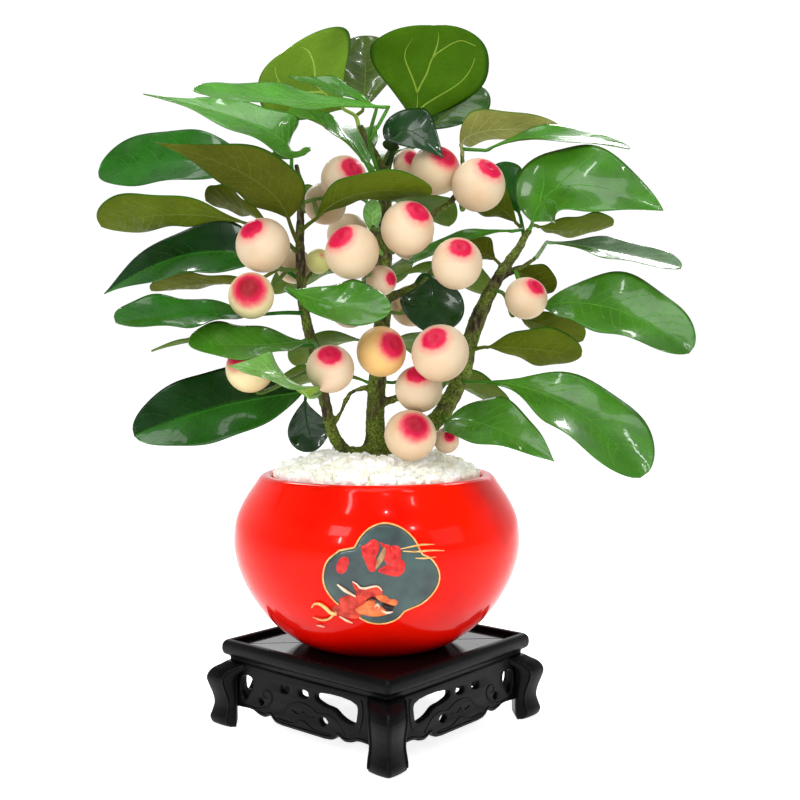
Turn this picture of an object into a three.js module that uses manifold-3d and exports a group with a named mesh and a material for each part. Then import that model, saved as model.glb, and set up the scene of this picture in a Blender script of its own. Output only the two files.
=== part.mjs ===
// Potted fig bonsai on a carved black stand, in millimetres, +Z up.
// The pot's axis is the Z axis, the stand's feet stand on z = 0, and -Y is the front.

import * as THREE from 'three';
import { mergeVertices } from 'three/addons/utils/BufferGeometryUtils.js';
import Module from 'manifold-3d';

const wasm = await Module();
wasm.setup();

// Driving sizes

const gap = 0.3; // clearance between pieces that rest on each other
const standHeight = 59;
const frameCorner = 110; // half diagonal of the stand's top
const deckCorner = 100; // half diagonal of the sunk panel
const deckTop = 55.5;
const deckThickness = 4;
const legTop = 44;
const apronBottom = 9.2;
const apronFace = 74; // distance of an apron's front from the middle
const apronThickness = 5;
const potFloor = deckTop + gap;
const potRimHeight = 175;
const potMouth = 74; // inner radius of the rim
const soilTop = 162;
const stonesMiddle = 187; // height of the white stones in the middle
const stonesEdge = 172;
const bladeThickness = 0.9;
const petioleRadius = 1.2;
const stemRadius = 1.5; // of green stems and of the twigs of the figs
const sideStemRadius = 1.2; // of the stalks that leave a stem or twig at its end
const plantTurn = -3.5; // degrees that the plant is turned in its pot
const finestEdge = 0.06; // shorter edges are left out where pieces are joined or cut

const black = { color: 0x0b0b0d, roughness: 0.3, metalness: 0 };
const redGlaze = { color: 0xe01a0a, roughness: 0.1, metalness: 0 };
const whiteStone = { color: 0xeeeee4, roughness: 0.85, metalness: 0 };
const darkSoil = { color: 0x2b2018, roughness: 0.95, metalness: 0 };
const mossyBark = { color: 0x4a4a22, roughness: 0.9, metalness: 0 };
const leafGreen = { color: 0x1f5f14, roughness: 0.35, metalness: 0 };
const figCream = { color: 0xe3cda4, roughness: 0.45, metalness: 0 };

// Helpers

const vec = ([x, y, z]) => new THREE.Vector3(x, y, z);

function meshData(geometry) {
  const bare = geometry.clone();
  bare.deleteAttribute('normal');
  if (bare.hasAttribute('uv')) bare.deleteAttribute('uv');
  return mergeVertices(bare, 1e-4);
}

function solid(geometry) {
  const merged = meshData(geometry);
  return new wasm.Manifold(new wasm.Mesh({
    numProp: 3,
    vertProperties: merged.attributes.position.array,
    triVerts: new Uint32Array(merged.index.array),
  }));
}

// The solid's triangles, with each edge shorter than finestEdge drawn together to one corner.
function withoutSlivers(mesh) {
  const at = (corner) => new THREE.Vector3().fromArray(mesh.vertProperties, 3 * corner);
  let triangles = [];
  for (let first = 0; first < mesh.triVerts.length; first += 3) {
    triangles.push([...mesh.triVerts.slice(first, first + 3)]);
  }
  for (;;) {
    const drawn = new Map();
    for (const corners of triangles) {
      for (let order = 0; order < 3; order++) {
        const [one, other] = [corners[order], corners[(order + 1) % 3]];
        if (drawn.has(one) || drawn.has(other)) continue;
        if (at(one).distanceTo(at(other)) > finestEdge) continue;
        drawn.set(one, one);
        drawn.set(other, one);
      }
    }
    if (drawn.size === 0) return triangles;
    triangles = triangles
      .map((corners) => corners.map((corner) => drawn.get(corner) ?? corner))
      .filter((corners) => new Set(corners).size === 3);
  }
}

function geometryOf(shape) {
  const mesh = shape.getMesh();
  const geometry = new THREE.BufferGeometry();
  geometry.setAttribute('position', new THREE.BufferAttribute(new Float32Array(mesh.vertProperties), 3));
  geometry.setIndex(withoutSlivers(mesh).flat());
  const flat = geometry.toNonIndexed();
  flat.computeVertexNormals();
  return flat;
}

function join(shapes) {
  return shapes.reduce((whole, shape) => whole.add(shape));
}

function addMesh(parent, name, geometry, look) {
  const mesh = new THREE.Mesh(geometry, new THREE.MeshStandardMaterial(look));
  mesh.name = name;
  parent.add(mesh);
  return mesh;
}

// A closed skin over rings of equally many points, with a fan at each end.
function skin(rings) {
  const sides = rings[0].length;
  const positions = rings.flat().concat([middle(rings[0]), middle(rings.at(-1))]);
  const index = [];
  const at = (ring, side) => ring * sides + (side % sides);
  for (let ring = 0; ring < rings.length - 1; ring++) {
    for (let side = 0; side < sides; side++) {
      index.push(at(ring, side), at(ring, side + 1), at(ring + 1, side + 1));
      index.push(at(ring, side), at(ring + 1, side + 1), at(ring + 1, side));
    }
  }
  const first = rings.length * sides;
  const last = rings.length - 1;
  for (let side = 0; side < sides; side++) {
    index.push(first, at(0, side + 1), at(0, side));
    index.push(first + 1, at(last, side), at(last, side + 1));
  }
  const geometry = new THREE.BufferGeometry().setFromPoints(positions);
  geometry.setIndex(index);
  return geometry;
}

function middle(points) {
  const sum = points.reduce((total, point) => total.add(point), new THREE.Vector3());
  return sum.divideScalar(points.length);
}

// A round bar through stations { centre, direction, radius }, each ring square to its direction.
function roundBar(stations, sides) {
  let across = new THREE.Vector3(0, 0, 1).cross(stations[0].direction);
  if (across.length() < 0.1) across.set(1, 0, 0);
  const rings = stations.map(({ centre, direction, radius }) => {
    across = across.clone().projectOnPlane(direction).normalize();
    const up = new THREE.Vector3().crossVectors(direction, across).normalize();
    return Array.from({ length: sides }, (_, side) => {
      const angle = (side / sides) * 2 * Math.PI;
      return centre.clone()
        .addScaledVector(across, radius * Math.cos(angle))
        .addScaledVector(up, radius * Math.sin(angle));
    });
  });
  return skin(rings);
}

// A limb along a smooth line through points [x, y, z, radius], made thicker all over by extra.
function limbGeometry(points, sides, steps, extra) {
  const curve = new THREE.CatmullRomCurve3(points.map(vec), false, 'centripetal');
  const stations = [];
  for (let step = 0; step <= steps; step++) {
    const along = (step / steps) * (points.length - 1);
    const before = Math.min(Math.floor(along), points.length - 2);
    const radius = THREE.MathUtils.lerp(points[before][3], points[before + 1][3], along - before);
    const direction = curve.getTangent(step / steps);
    const end = step === 0 ? -extra : step === steps ? extra : 0;
    const centre = curve.getPoint(step / steps).addScaledVector(direction, end);
    stations.push({ centre, direction, radius: radius + extra });
  }
  return roundBar(stations, sides);
}

// Stand: a moulded square frame turned corner to the front, its sunk panel, four curved legs
// and four carved aprons. A lathe of four sides makes each mitred square piece.

const part = new THREE.Group();
const stand = new THREE.Group();
part.add(stand);

function squareRing(profile) {
  const points = profile.map(([corner, height]) => new THREE.Vector2(corner, height));
  return new THREE.LatheGeometry(points, 4).rotateX(Math.PI / 2);
}

const frameProfile = [
  [deckCorner - 8, deckTop - deckThickness - gap],
  [deckCorner - 8, legTop + gap],
  [frameCorner - 6, legTop + gap],
  [frameCorner - 5.5, 47.5],
  [frameCorner - 2.5, 48.8],
  [frameCorner - 0.6, 50.5],
  [frameCorner, 53],
  [frameCorner - 0.8, 56.5],
  [frameCorner - 3, 58.4],
  [frameCorner - 5, standHeight],
  [deckCorner + 2.5, standHeight],
  [deckCorner + gap, standHeight - 1.5],
  [deckCorner + gap, deckTop - deckThickness - gap],
];
addMesh(stand, 'stand_frame', squareRing([...frameProfile, frameProfile[0]]), black);

const deckProfile = [
  [0, deckTop - deckThickness],
  [deckCorner, deckTop - deckThickness],
  [deckCorner, deckTop],
  [0, deckTop],
];
addMesh(stand, 'stand_deck', squareRing(deckProfile), black);

// A leg's stations: height, reach of its outer edge, half width across, depth behind the width.
const legStations = [
  [0, 112.5, 10.5, 3.5],
  [1.5, 115.5, 12, 5],
  [5, 117, 12.3, 6.2],
  [9.5, 115.5, 11.8, 5.2],
  [15, 114, 11, 4.5],
  [21, 115, 11, 5.5],
  [27, 117.5, 11.5, 7.5],
  [33, 119.5, 12, 9],
  [38, 116.5, 12, 8.5],
  [42, 109, 12, 8.5],
  [legTop, 105, 12, 4.5],
];

function legGeometry(extra) {
  const edge = 1.2; // half width of the flat along the outer edge
  const rings = legStations.map(([height, reach, half, depth], level) => {
    const lift = level === 0 ? -extra : level === legStations.length - 1 ? extra : 0;
    const out = reach + extra;
    const wide = half + extra;
    const back = reach - half - depth - extra;
    const plan = [
      [out, -edge], [out, edge], [out - wide, wide], [back, wide], [back, -wide], [out - wide, -wide],
    ];
    return plan.map(([x, y]) => new THREE.Vector3(x, y, height + lift));
  });
  return skin(rings);
}

const legNames = ['right', 'back', 'left', 'front'];
legNames.forEach((name, quarter) => {
  const leg = addMesh(stand, `stand_leg_${name}`, legGeometry(0), black);
  leg.rotation.z = quarter * Math.PI / 2;
});

// An apron's lower edge from its middle to one end: [distance from the middle, height]. Its holes
// are pierced on one side only, the longest of them next to the front or the back leg.
const apronReach = 66.5;
const apronEdge = [
  [20, apronBottom], [27, apronBottom + 1.1], [31, apronBottom + 4.2], [37, apronBottom + 2.2],
  [43, apronBottom + 2.8], [49, apronBottom + 4.8], [apronReach, apronBottom + 4.2],
];
const apronHoles = [
  [[11, 34], [12, 37.3], [47.5, 37], [48, 30], [46, 24.5], [40, 24.5], [34, 26.2], [27, 30], [18, 31.2]],
  [[-4, 33], [-4, 36.5], [4, 36.8], [4.5, 33.2]],
  [[-21, 32.2], [-20.5, 36.3], [-13, 36.6], [-13, 33]],
  [[-50, 36], [-58.5, 36], [-60.5, 30], [-59.5, 22.5], [-56, 20], [-52, 25], [-49, 30]],
  [[-42.5, 21.7], [-41.2, 23.9], [-38.8, 23.9], [-37.5, 21.7], [-38.8, 19.5], [-41.2, 19.5]],
  [[14.5, 20.4], [16.8, 22.8], [20.2, 22.8], [22.5, 20.4], [20.2, 18], [16.8, 18]],
];

function apronGeometry(side) {
  const shape = new THREE.Shape();
  shape.moveTo(apronReach, legTop);
  shape.lineTo(-apronReach, legTop);
  [...apronEdge].reverse().forEach(([u, z]) => shape.lineTo(-u, z));
  apronEdge.forEach(([u, z]) => shape.lineTo(u, z));
  for (const hole of apronHoles) {
    const points = hole.map(([u, z]) => new THREE.Vector2(side * u, z));
    shape.holes.push(new THREE.Path(points));
  }
  const plate = new THREE.ExtrudeGeometry(shape, { depth: apronThickness, bevelEnabled: false });
  plate.rotateX(Math.PI / 2);
  return plate.translate(0, apronThickness - apronFace, 0);
}

const apronNames = ['front_right', 'back_right', 'back_left', 'front_left'];
const legCutters = legNames.map((_, quarter) =>
  solid(legGeometry(gap).rotateZ((quarter - 0.5) * Math.PI / 2)));
apronNames.forEach((name, quarter) => {
  const whole = solid(apronGeometry(quarter % 2 ? 1 : -1));
  const plate = legCutters.reduce((shape, leg) => shape.subtract(leg), whole);
  const pieces = plate.decompose().sort((a, b) => b.volume() - a.volume());
  const apron = addMesh(stand, `stand_apron_${name}`, geometryOf(pieces[0]), black);
  apron.rotation.z = (quarter + 0.5) * Math.PI / 2;
});

// Pot: a round glazed bowl with a foot ring and a rounded lip, turned from one profile.

function turned(profile, segments) {
  const points = profile.map(([radius, height]) => new THREE.Vector2(radius, height));
  return new THREE.LatheGeometry(points, segments).rotateX(Math.PI / 2);
}

const potSides = 28;
const potInside = [
  [potMouth, potRimHeight - 1], [potMouth - 1, potRimHeight - 4], [potMouth + 3, 168], [86, 158],
  [93, 143], [94.5, 130], [91, 112], [82, 93], [68, 77], [52, 66], [0, 64],
];
const potOutside = [
  [0, potFloor + 3], [38, potFloor + 3], [38, potFloor], [45, potFloor], [58, 61.5], [69, 69.5],
  [78, 78], [86, 88.5], [93, 101], [97.8, 114], [100, 131], [98, 145], [92.5, 157], [84.5, 169],
  [80.5, 174], [77.5, potRimHeight],
];
addMesh(part, 'pot', turned([...potOutside, ...potInside], potSides), redGlaze);

const soilProfile = [
  [0, 64 + gap], [52 - gap, 66 + gap], [68 - gap, 77 + gap], [82 - 1.5 * gap, 93],
  [91 - 2 * gap, 112], [94.5 - 2 * gap, 130], [93 - 2 * gap, 143], [86 - 2 * gap, 158],
  [81 - gap, soilTop], [0, soilTop],
];

// Woody stem: a root flare, a middle trunk with a forked top, a thin left limb, a thick right
// limb, limbs to the back and the front, and twigs. Stations are [x, y, z, radius].

const limbs = {
  trunk: [
    [2, 4, 146, 9], [1, 2, 172, 15], [0, 0, 188, 12.5], [-1, 0, 202, 7.5], [-1, 0, 220, 6.6],
    [1, 2, 250, 6.2], [5, 4, 300, 5.6], [6, 5, 350, 5], [5, 6, 388, 4.4],
  ],
  topLeft: [[5, 6, 384, 4], [-3, 6, 400, 3.2], [-12, 8, 418, 2.4]],
  topRight: [[5, 6, 384, 4], [12, 3, 403, 3], [19, 2, 416, 2.2]],
  left: [
    [-8, 0, 176, 7], [-22, -5, 190, 5], [-31, -8, 204, 4.3], [-36, -11, 226, 4.2],
    [-42, -14, 255, 4], [-50, -18, 292, 3.8], [-52, -20, 335, 3.4], [-51, -21, 368, 2.6],
    [-54, -24, 386, 1.8],
  ],
  right: [
    [8, 0, 178, 8], [26, -3, 200, 6.6], [45, -4, 216, 6.4], [54, -2, 232, 6.3], [60, -1, 246, 6.3],
    [66, 1, 270, 6], [75, 3, 292, 5.4], [86, 4, 313, 4.4], [97, 4, 329, 3.6], [107, 2, 346, 2.4],
  ],
  back: [[2, 3, 236, 4.5], [5, 22, 272, 4], [2, 38, 318, 3.4], [-2, 44, 362, 2.6], [-3, 42, 386, 2]],
  backLow: [[1, 2, 226, 4.2], [2, 22, 246, 3.4], [4, 40, 262, 2.6]],
  front: [[4, 3, 268, 4], [-1, -14, 288, 3.2], [-6, -24, 312, 2.6], [-2, -28, 345, 2]],
  inner: [[5, 4, 296, 3.6], [24, -6, 304, 2.8], [40, -8, 316, 2.2]],
  upper: [
    [6, 5, 340, 3.6], [22, -2, 345, 2.6], [39, -4, 355, 2.4], [54, 0, 367, 2.4], [60, 6, 384, 2],
    [60, 9, 398, 1.6],
  ],
  cross: [[-1, 0, 222, 3.2], [20, -5, 229, 2.8], [50, -3, 226, 3]],
  brace: [[-1, 0, 236, 2.2], [-18, -6, 231, 1.7], [-26, -8, 216, 1.6], [-33, -9, 206, 1.6]],
  sideRight: [[84, 4, 310, 2.6], [100, 3, 318, 2], [112, -1, 326, 1.6]],
};
const limbSteps = {
  trunk: 10, topLeft: 3, topRight: 2, left: 9, right: 9, back: 5, backLow: 2, front: 4, inner: 2,
  upper: 6, cross: 2, brace: 4, sideRight: 2,
};
const limbSides = { trunk: 8, left: 7, right: 7 };
const twigSides = 5;

const roots = [
  [[-2, 0, 186, 7], [-20, -9, 187, 6], [-34, -16, 178, 4]],
  [[0, -2, 186, 7], [4, -20, 185, 5.5], [8, -34, 176, 4]],
  [[2, 0, 186, 7], [22, -8, 186, 5], [36, -12, 177, 3.5]],
  [[0, 2, 186, 7], [10, 18, 186, 5.5], [16, 34, 177, 4]],
  [[-1, 1, 186, 7], [-14, 16, 185, 5], [-24, 28, 176, 3.5]],
];

function woodySolid(extra) {
  const bars = Object.entries(limbs).map(([name, stations]) =>
    solid(limbGeometry(stations, limbSides[name] ?? twigSides, limbSteps[name], extra)));
  const rootBars = roots.map((stations) => solid(limbGeometry(stations, twigSides, 3, extra)));
  return join([...bars, ...rootBars]);
}

const woody = woodySolid(0);
const woodyRoom = woodySolid(gap);

const plant = new THREE.Group();
plant.rotation.z = THREE.MathUtils.degToRad(plantTurn);
part.add(plant);
addMesh(plant, 'trunk', geometryOf(woody), mossyBark);
addMesh(plant, 'soil', geometryOf(solid(turned(soilProfile, potSides)).subtract(woodyRoom)), darkSoil);

// White stones: a mound whose upper skin rises and falls from stone to stone.

let seed = 11;
function draw() {
  seed = (seed * 16807) % 2147483647;
  return seed / 2147483647;
}

const stoneRims = [[78, soilTop + gap], [76, 165.5], [72, 169]];
const stoneRadii = [71, 64, 55, 45, 35, 25, 13];
const stonesAround = 20;
const stoneRelief = 3.4;

function stonesGeometry() {
  const ringAt = (radius, heightAt) => {
    const ring = [];
    for (let side = 0; side < stonesAround; side++) {
      const angle = ((side + 0.4 * (draw() - 0.5)) / stonesAround) * 2 * Math.PI;
      ring.push(new THREE.Vector3(radius * Math.cos(angle), radius * Math.sin(angle), heightAt()));
    }
    return ring;
  };
  const rings = stoneRims.map(([radius, height]) => ringAt(radius, () => height));
  for (const radius of stoneRadii) {
    const rise = Math.min(1, 1.5 * Math.sin((Math.PI / 2) * (1 - radius / 76)));
    const height = THREE.MathUtils.lerp(stonesEdge, stonesMiddle, rise);
    rings.push(ringAt(radius, () => height + stoneRelief * (draw() - 0.5)));
  }
  return skin(rings);
}
addMesh(plant, 'stones', geometryOf(solid(stonesGeometry()).subtract(woodyRoom)), whiteStone);

// Leaves. A blade runs from its base through a middle point to its tip. Its upper side looks along
// face, its belly says how far along it is widest, its taper how slender its lower part is, its
// point how pointed its end is, and its cup how much its edges rise.

const bladeRows = [0, 0.18, 0.38, 0.6, 0.8, 0.94, 1];

function halfWidth(leaf, t) {
  const belly = leaf.belly ?? 0.62;
  const shape = t < belly
    ? Math.sin((Math.PI / 2) * (t / belly)) ** (leaf.taper ?? 1.35)
    : Math.max(0.04, 1 - ((t - belly) / (1 - belly)) ** 2) ** (0.5 + 0.9 * (leaf.point ?? 0));
  return Math.max(petioleRadius, (leaf.width / 2) * shape);
}

// A section of a leaf: edges, midrib and edges again, on the lower and then on the upper side.
function leafSection(centre, across, up, half, rise, thick) {
  const point = (side, lift) => centre.clone()
    .addScaledVector(across, side * half)
    .addScaledVector(up, rise * side * side + lift);
  return [
    point(-1, -thick), point(0, -thick), point(1, -thick), point(1, thick), point(0, thick),
    point(-1, thick),
  ];
}

function leafGeometry(leaf, stalk) {
  const base = vec(leaf.base);
  const tip = vec(leaf.tip);
  const handle = vec(leaf.mid).multiplyScalar(2).addScaledVector(base, -0.5).addScaledVector(tip, -0.5);
  const midrib = new THREE.QuadraticBezierCurve3(base, handle, tip);
  const face = vec(leaf.face).normalize();
  const frameAt = (t) => {
    const along = midrib.getTangent(t);
    const up = face.clone().projectOnPlane(along).normalize();
    return { up, across: new THREE.Vector3().crossVectors(up, along) };
  };
  const sections = bladeRows.map((t) => {
    const { up, across } = frameAt(t);
    const half = halfWidth(leaf, t);
    const thick = t === 0 ? 0.9 * petioleRadius : bladeThickness / 2;
    return leafSection(midrib.getPoint(t), across, up, half, (leaf.cup ?? 0.22) * half, thick);
  });
  let across = frameAt(0).across;
  let ahead = base;
  for (const point of [...stalk].reverse().map(vec)) {
    const direction = ahead.clone().sub(point).normalize();
    across = across.clone().projectOnPlane(direction).normalize();
    const up = new THREE.Vector3().crossVectors(direction, across);
    const radius = stalk.length === 1 ? sideStemRadius : stemRadius;
    sections.unshift(leafSection(point, across, up, radius, 0, radius));
    ahead = point;
  }
  return skin(sections);
}

// A shoot is a green stem with its leaves. The first leaf ends the stem, and the others leave its
// last point.
const shoots = {
  crown: {
    stem: [[12, 3, 403], [21, 4, 414]],
    leaves: [
      { base: [25, 4, 418], mid: [35, 0, 451], tip: [38, -18, 480], width: 84, face: [0, 10, 2] },
      { base: [32, 11, 414], mid: [56, 20, 434], tip: [70, 26, 452], width: 42, face: [0, -10, 3] },
    ],
  },
  top_left: {
    stem: [[-12, 8, 414], [-15, 11, 425]],
    leaves: [
      { base: [-22, 11, 429], mid: [-46, 13, 450], tip: [-64, 4, 468], width: 82, face: [2, 10, 3] },
      { base: [-10, 18, 430], mid: [-8, 28, 457], tip: [-9, 34, 487], width: 46, face: [0, -10, 3] },
    ],
  },
  top_front: {
    stem: [[6, 5, 374], [-5, -6, 404]],
    leaves: [
      {
        base: [0, -12, 426], mid: [-28, -18, 437], tip: [-60, -15, 446], width: 22,
        face: [0, -6, 8], belly: 0.5, point: 1,
      },
      { base: [8, -24, 424], mid: [-50, -62, 419], tip: [-111, -96, 418], width: 31, face: [0, -7, 8] },
    ],
  },
  top_glossy: {
    stem: [[6, 5, 388], [10, -5, 396]],
    leaves: [
      {
        base: [10, -8, 399], mid: [20, -26, 408], tip: [44, -36, 388], width: 40,
        face: [1, -9, 5], belly: 0.4, point: 0.6,
      },
    ],
  },
  upper_left: {
    stem: [[6, 5, 360], [-4, 2, 384]],
    leaves: [
      { base: [-8, 0, 391], mid: [-33, -8, 413], tip: [-60, -15, 422], width: 32, face: [3, -4, 8] },
    ],
  },
  left_top: {
    stem: [[-52, -21, 366], [-57, -24, 382]],
    leaves: [
      {
        base: [-57, -26, 389], mid: [-80, -36, 409], tip: [-158, -14, 434], width: 46,
        face: [-2, -6, 8], belly: 0.28, taper: 0.8, point: 1,
      },
      { base: [-67, -14, 381], mid: [-131, 0, 392], tip: [-197, 20, 387], width: 48, face: [0, -9, 5] },
    ],
  },
  left_hood: {
    stem: [[-52, -20, 330], [-56, -34, 340]],
    leaves: [
      {
        base: [-58, -44, 347], mid: [-81, -68, 371], tip: [-135, -94, 387], width: 45,
        face: [2, 8, 6], belly: 0.3, taper: 0.9, point: 1,
      },
    ],
  },
  left_olive: {
    stem: [[-52, -20, 325], [-66, -22, 338]],
    leaves: [
      {
        base: [-84, -26, 345], mid: [-137, -17, 353], tip: [-194, 14, 348], width: 39,
        face: [0, 6, 8], belly: 0.76,
      },
      { base: [-72, -16, 346], mid: [-96, 0, 360], tip: [-120, 10, 366], width: 36, face: [0, 5, 9] },
    ],
  },
  left_dark: {
    stem: [[-51, -19, 308], [-66, -14, 317]],
    leaves: [
      {
        base: [-79, -10, 322], mid: [-132, 4, 327], tip: [-195, 24, 301], width: 48,
        face: [-2, -8, 6], belly: 0.35, taper: 0.7, point: 0.6,
      },
      { base: [-82, -4, 309], mid: [-122, 14, 308], tip: [-163, 32, 304], width: 30, face: [0, 3, 10] },
    ],
  },
  left_middle: {
    stem: [[-49, -18, 286], [-62, -27, 286]],
    leaves: [
      { base: [-74, -32, 285], mid: [-120, -64, 283], tip: [-160, -94, 278], width: 40, face: [0, -6, 8] },
    ],
  },
  centre: {
    stem: [[-50, -18, 294], [-60, -36, 301]],
    leaves: [
      { base: [-58, -50, 301], mid: [-26, -68, 290], tip: [9, -70, 289], width: 36, face: [0, -8, 6] },
    ],
  },
  left_low: {
    stem: [[-43, -14, 258], [-41, -26, 264]],
    leaves: [
      { base: [-43, -36, 267], mid: [-79, -62, 264], tip: [-118, -80, 265], width: 42, face: [0, -6, 8] },
      { base: [-54, -22, 264], mid: [-104, -20, 269], tip: [-154, -15, 260], width: 28, face: [0, -1, 10] },
    ],
  },
  left_light: {
    stem: [[-38, -12, 234], [-41, -34, 230]],
    leaves: [
      {
        base: [-44, -52, 230], mid: [-61, -86, 245], tip: [-91, -98, 251], width: 36,
        face: [-2, -7, 7], belly: 0.38, taper: 0.8, point: 1,
      },
    ],
  },
  left_foot: {
    stem: [[-36, -11, 226], [-44, -11, 231]],
    leaves: [
      {
        base: [-51, -14, 232], mid: [-107, -20, 222], tip: [-161, -40, 204], width: 53,
        face: [-1, -9, 4], belly: 0.5, taper: 0.7,
      },
      { base: [-50, 0, 228], mid: [-49, 4, 208], tip: [-42, 2, 191], width: 30, face: [0, -10, 2] },
    ],
  },
  arch: {
    stem: [[-52, -20, 341], [-46, -28, 345]],
    leaves: [
      { base: [-41, -32, 348], mid: [-11, -50, 363], tip: [36, -52, 363], width: 36, face: [0, 4, 9] },
    ],
  },
  young: {
    stem: [[6, 5, 326], [0, -6, 332]],
    leaves: [
      { base: [-2, -10, 338], mid: [-3, -12, 351], tip: [-2, -10, 364], width: 13, face: [0, -10, 2] },
    ],
  },
  inner_dark: {
    stem: [[26, -6, 305], [31, -12, 312]],
    leaves: [
      { base: [36, -16, 312], mid: [38, -24, 294], tip: [31, -30, 274], width: 44, face: [0, -9, 4] },
    ],
  },
  upper_tan: {
    stem: [[60, 9, 396.5], [60, 9, 402]],
    leaves: [
      {
        base: [59, 10, 405], mid: [79, 13, 416], tip: [132, 16, 416], width: 34,
        face: [-3, 5, 8], belly: 0.35,
      },
      {
        base: [76, 3, 400], mid: [117, -4, 408], tip: [177, 4, 402], width: 32,
        face: [0, -5, 9], belly: 0.72,
      },
    ],
  },
  right_corner: {
    stem: [[106, 2, 344], [108, 0, 348]],
    leaves: [
      {
        base: [108, -4, 350], mid: [133, -22, 372], tip: [189, -44, 353], width: 66,
        face: [-2, -8, 6], belly: 0.36, taper: 0.75, point: 0.4,
      },
      { base: [112, 4, 348], mid: [137, 12, 346], tip: [170, 24, 351], width: 34, face: [0, 4, 9] },
    ],
  },
  right_inner: {
    stem: [[103, 3, 339], [103, 9, 346]],
    leaves: [
      { base: [102, 16, 356], mid: [94, 22, 376], tip: [85, 24, 394], width: 30, face: [0, -10, 3] },
      { base: [99, 10, 350], mid: [83, 13, 364], tip: [61, 14, 369], width: 34, face: [0, 6, 8] },
      { base: [96, 0, 344], mid: [60, -8, 338], tip: [22, -15, 320], width: 17, face: [0, -5, 9] },
    ],
  },
  right_narrow: {
    stem: [[111, -0.6, 325], [115, -2, 331]],
    leaves: [
      { base: [118, -4, 336], mid: [159, -20, 328], tip: [201, -45, 315], width: 32, face: [0, -5, 8] },
    ],
  },
  right_large: {
    stem: [[97, 3, 317], [104, 1, 299]],
    leaves: [
      {
        base: [115, -6, 291], mid: [158, -40, 288], tip: [199, -74, 259], width: 56,
        face: [2, -9, 5], belly: 0.52, taper: 0.9,
      },
      { base: [100, 8, 285], mid: [122, 15, 277], tip: [149, 24, 268], width: 34, face: [0, 6, 8] },
    ],
  },
  right_behind: {
    stem: [[86, 5, 314], [88, 13, 321]],
    leaves: [
      { base: [93, 16, 319], mid: [110, 18, 313], tip: [127, 20, 303], width: 26, face: [0, 6, 8] },
      { base: [85, 17, 325], mid: [76, 18, 331], tip: [64, 18, 337], width: 24, face: [0, 6, 8] },
    ],
  },
  right_olive: {
    stem: [[64, 0, 260], [70, -4, 262]],
    leaves: [
      { base: [75, -6, 263], mid: [105, -15, 262], tip: [141, -14, 257], width: 34, face: [0, 8, 7] },
    ],
  },
  right_low: {
    stem: [[58, -2, 240], [62, -10, 239]],
    leaves: [
      {
        base: [68, -16, 239], mid: [122, -58, 226], tip: [163, -98, 182], width: 58,
        face: [3, -8, 5], belly: 0.68, taper: 1.7,
      },
    ],
  },
  right_foot: {
    stem: [[46, -4, 217], [46, -16, 213]],
    leaves: [
      {
        base: [47, -24, 212], mid: [74, -58, 211], tip: [110, -94, 192], width: 46,
        face: [2, -8, 5], belly: 0.38, taper: 0.85, point: 0.6,
      },
    ],
  },
  back_top: {
    stem: [[-3, 42, 386], [-3, 45, 394]],
    leaves: [
      { base: [-5, 48, 397], mid: [-18, 78, 424], tip: [-36, 106, 436], width: 46, face: [-2, 3, 9] },
      { base: [0, 50, 396], mid: [10, 82, 412], tip: [20, 116, 416], width: 44, face: [0, 3, 9] },
    ],
  },
  back_upper: {
    stem: [[-2, 44, 362], [-2, 54, 368]],
    leaves: [
      { base: [-6, 60, 370], mid: [-28, 88, 380], tip: [-58, 116, 370], width: 48, face: [-3, 4, 9] },
      { base: [5, 61, 370], mid: [28, 90, 375], tip: [58, 118, 360], width: 48, face: [3, 4, 9] },
    ],
  },
  back_middle: {
    stem: [[2, 38, 318], [3, 46, 314]],
    leaves: [
      { base: [-5, 50, 315], mid: [-40, 78, 321], tip: [-80, 102, 305], width: 46, face: [-3, 4, 9] },
      { base: [4, 54, 316], mid: [6, 88, 326], tip: [8, 124, 312], width: 46, face: [0, 4, 9] },
      { base: [11, 50, 314], mid: [48, 74, 320], tip: [88, 96, 304], width: 46, face: [3, 4, 9] },
    ],
  },
  back_low: {
    stem: [[4, 40, 262], [4, 48, 264]],
    leaves: [
      { base: [-2, 53, 265], mid: [-32, 84, 267], tip: [-64, 114, 248], width: 48, face: [-3, 4, 9] },
      { base: [9, 54, 265], mid: [30, 86, 269], tip: [50, 120, 250], width: 48, face: [1, 5, 9] },
    ],
  },
  back_sides: {
    stem: [[2, 20, 245], [3, 31, 238]],
    leaves: [
      { base: [-5, 36, 237], mid: [-44, 60, 240], tip: [-90, 84, 222], width: 46, face: [-4, 4, 9] },
      { base: [11, 36, 237], mid: [52, 56, 238], tip: [100, 78, 216], width: 46, face: [4, 4, 9] },
    ],
  },
};

for (const [name, shoot] of Object.entries(shoots)) {
  const pieces = shoot.leaves.map((leaf, order) =>
    solid(leafGeometry(leaf, order === 0 ? shoot.stem : [shoot.stem.at(-1)])));
  addMesh(plant, `shoot_${name}`, geometryOf(join(pieces).subtract(woodyRoom)), leafGreen);
}

// Figs: round fruit with the eye turned outwards. The first fig of a spray ends its twig, and the
// others leave the twig's last point.

const figProfile = [[0.6, -0.8], [0.96, -0.28], [0.96, 0.28], [0.72, 0.7], [0.34, 0.92]];
const figSides = 7;

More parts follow.
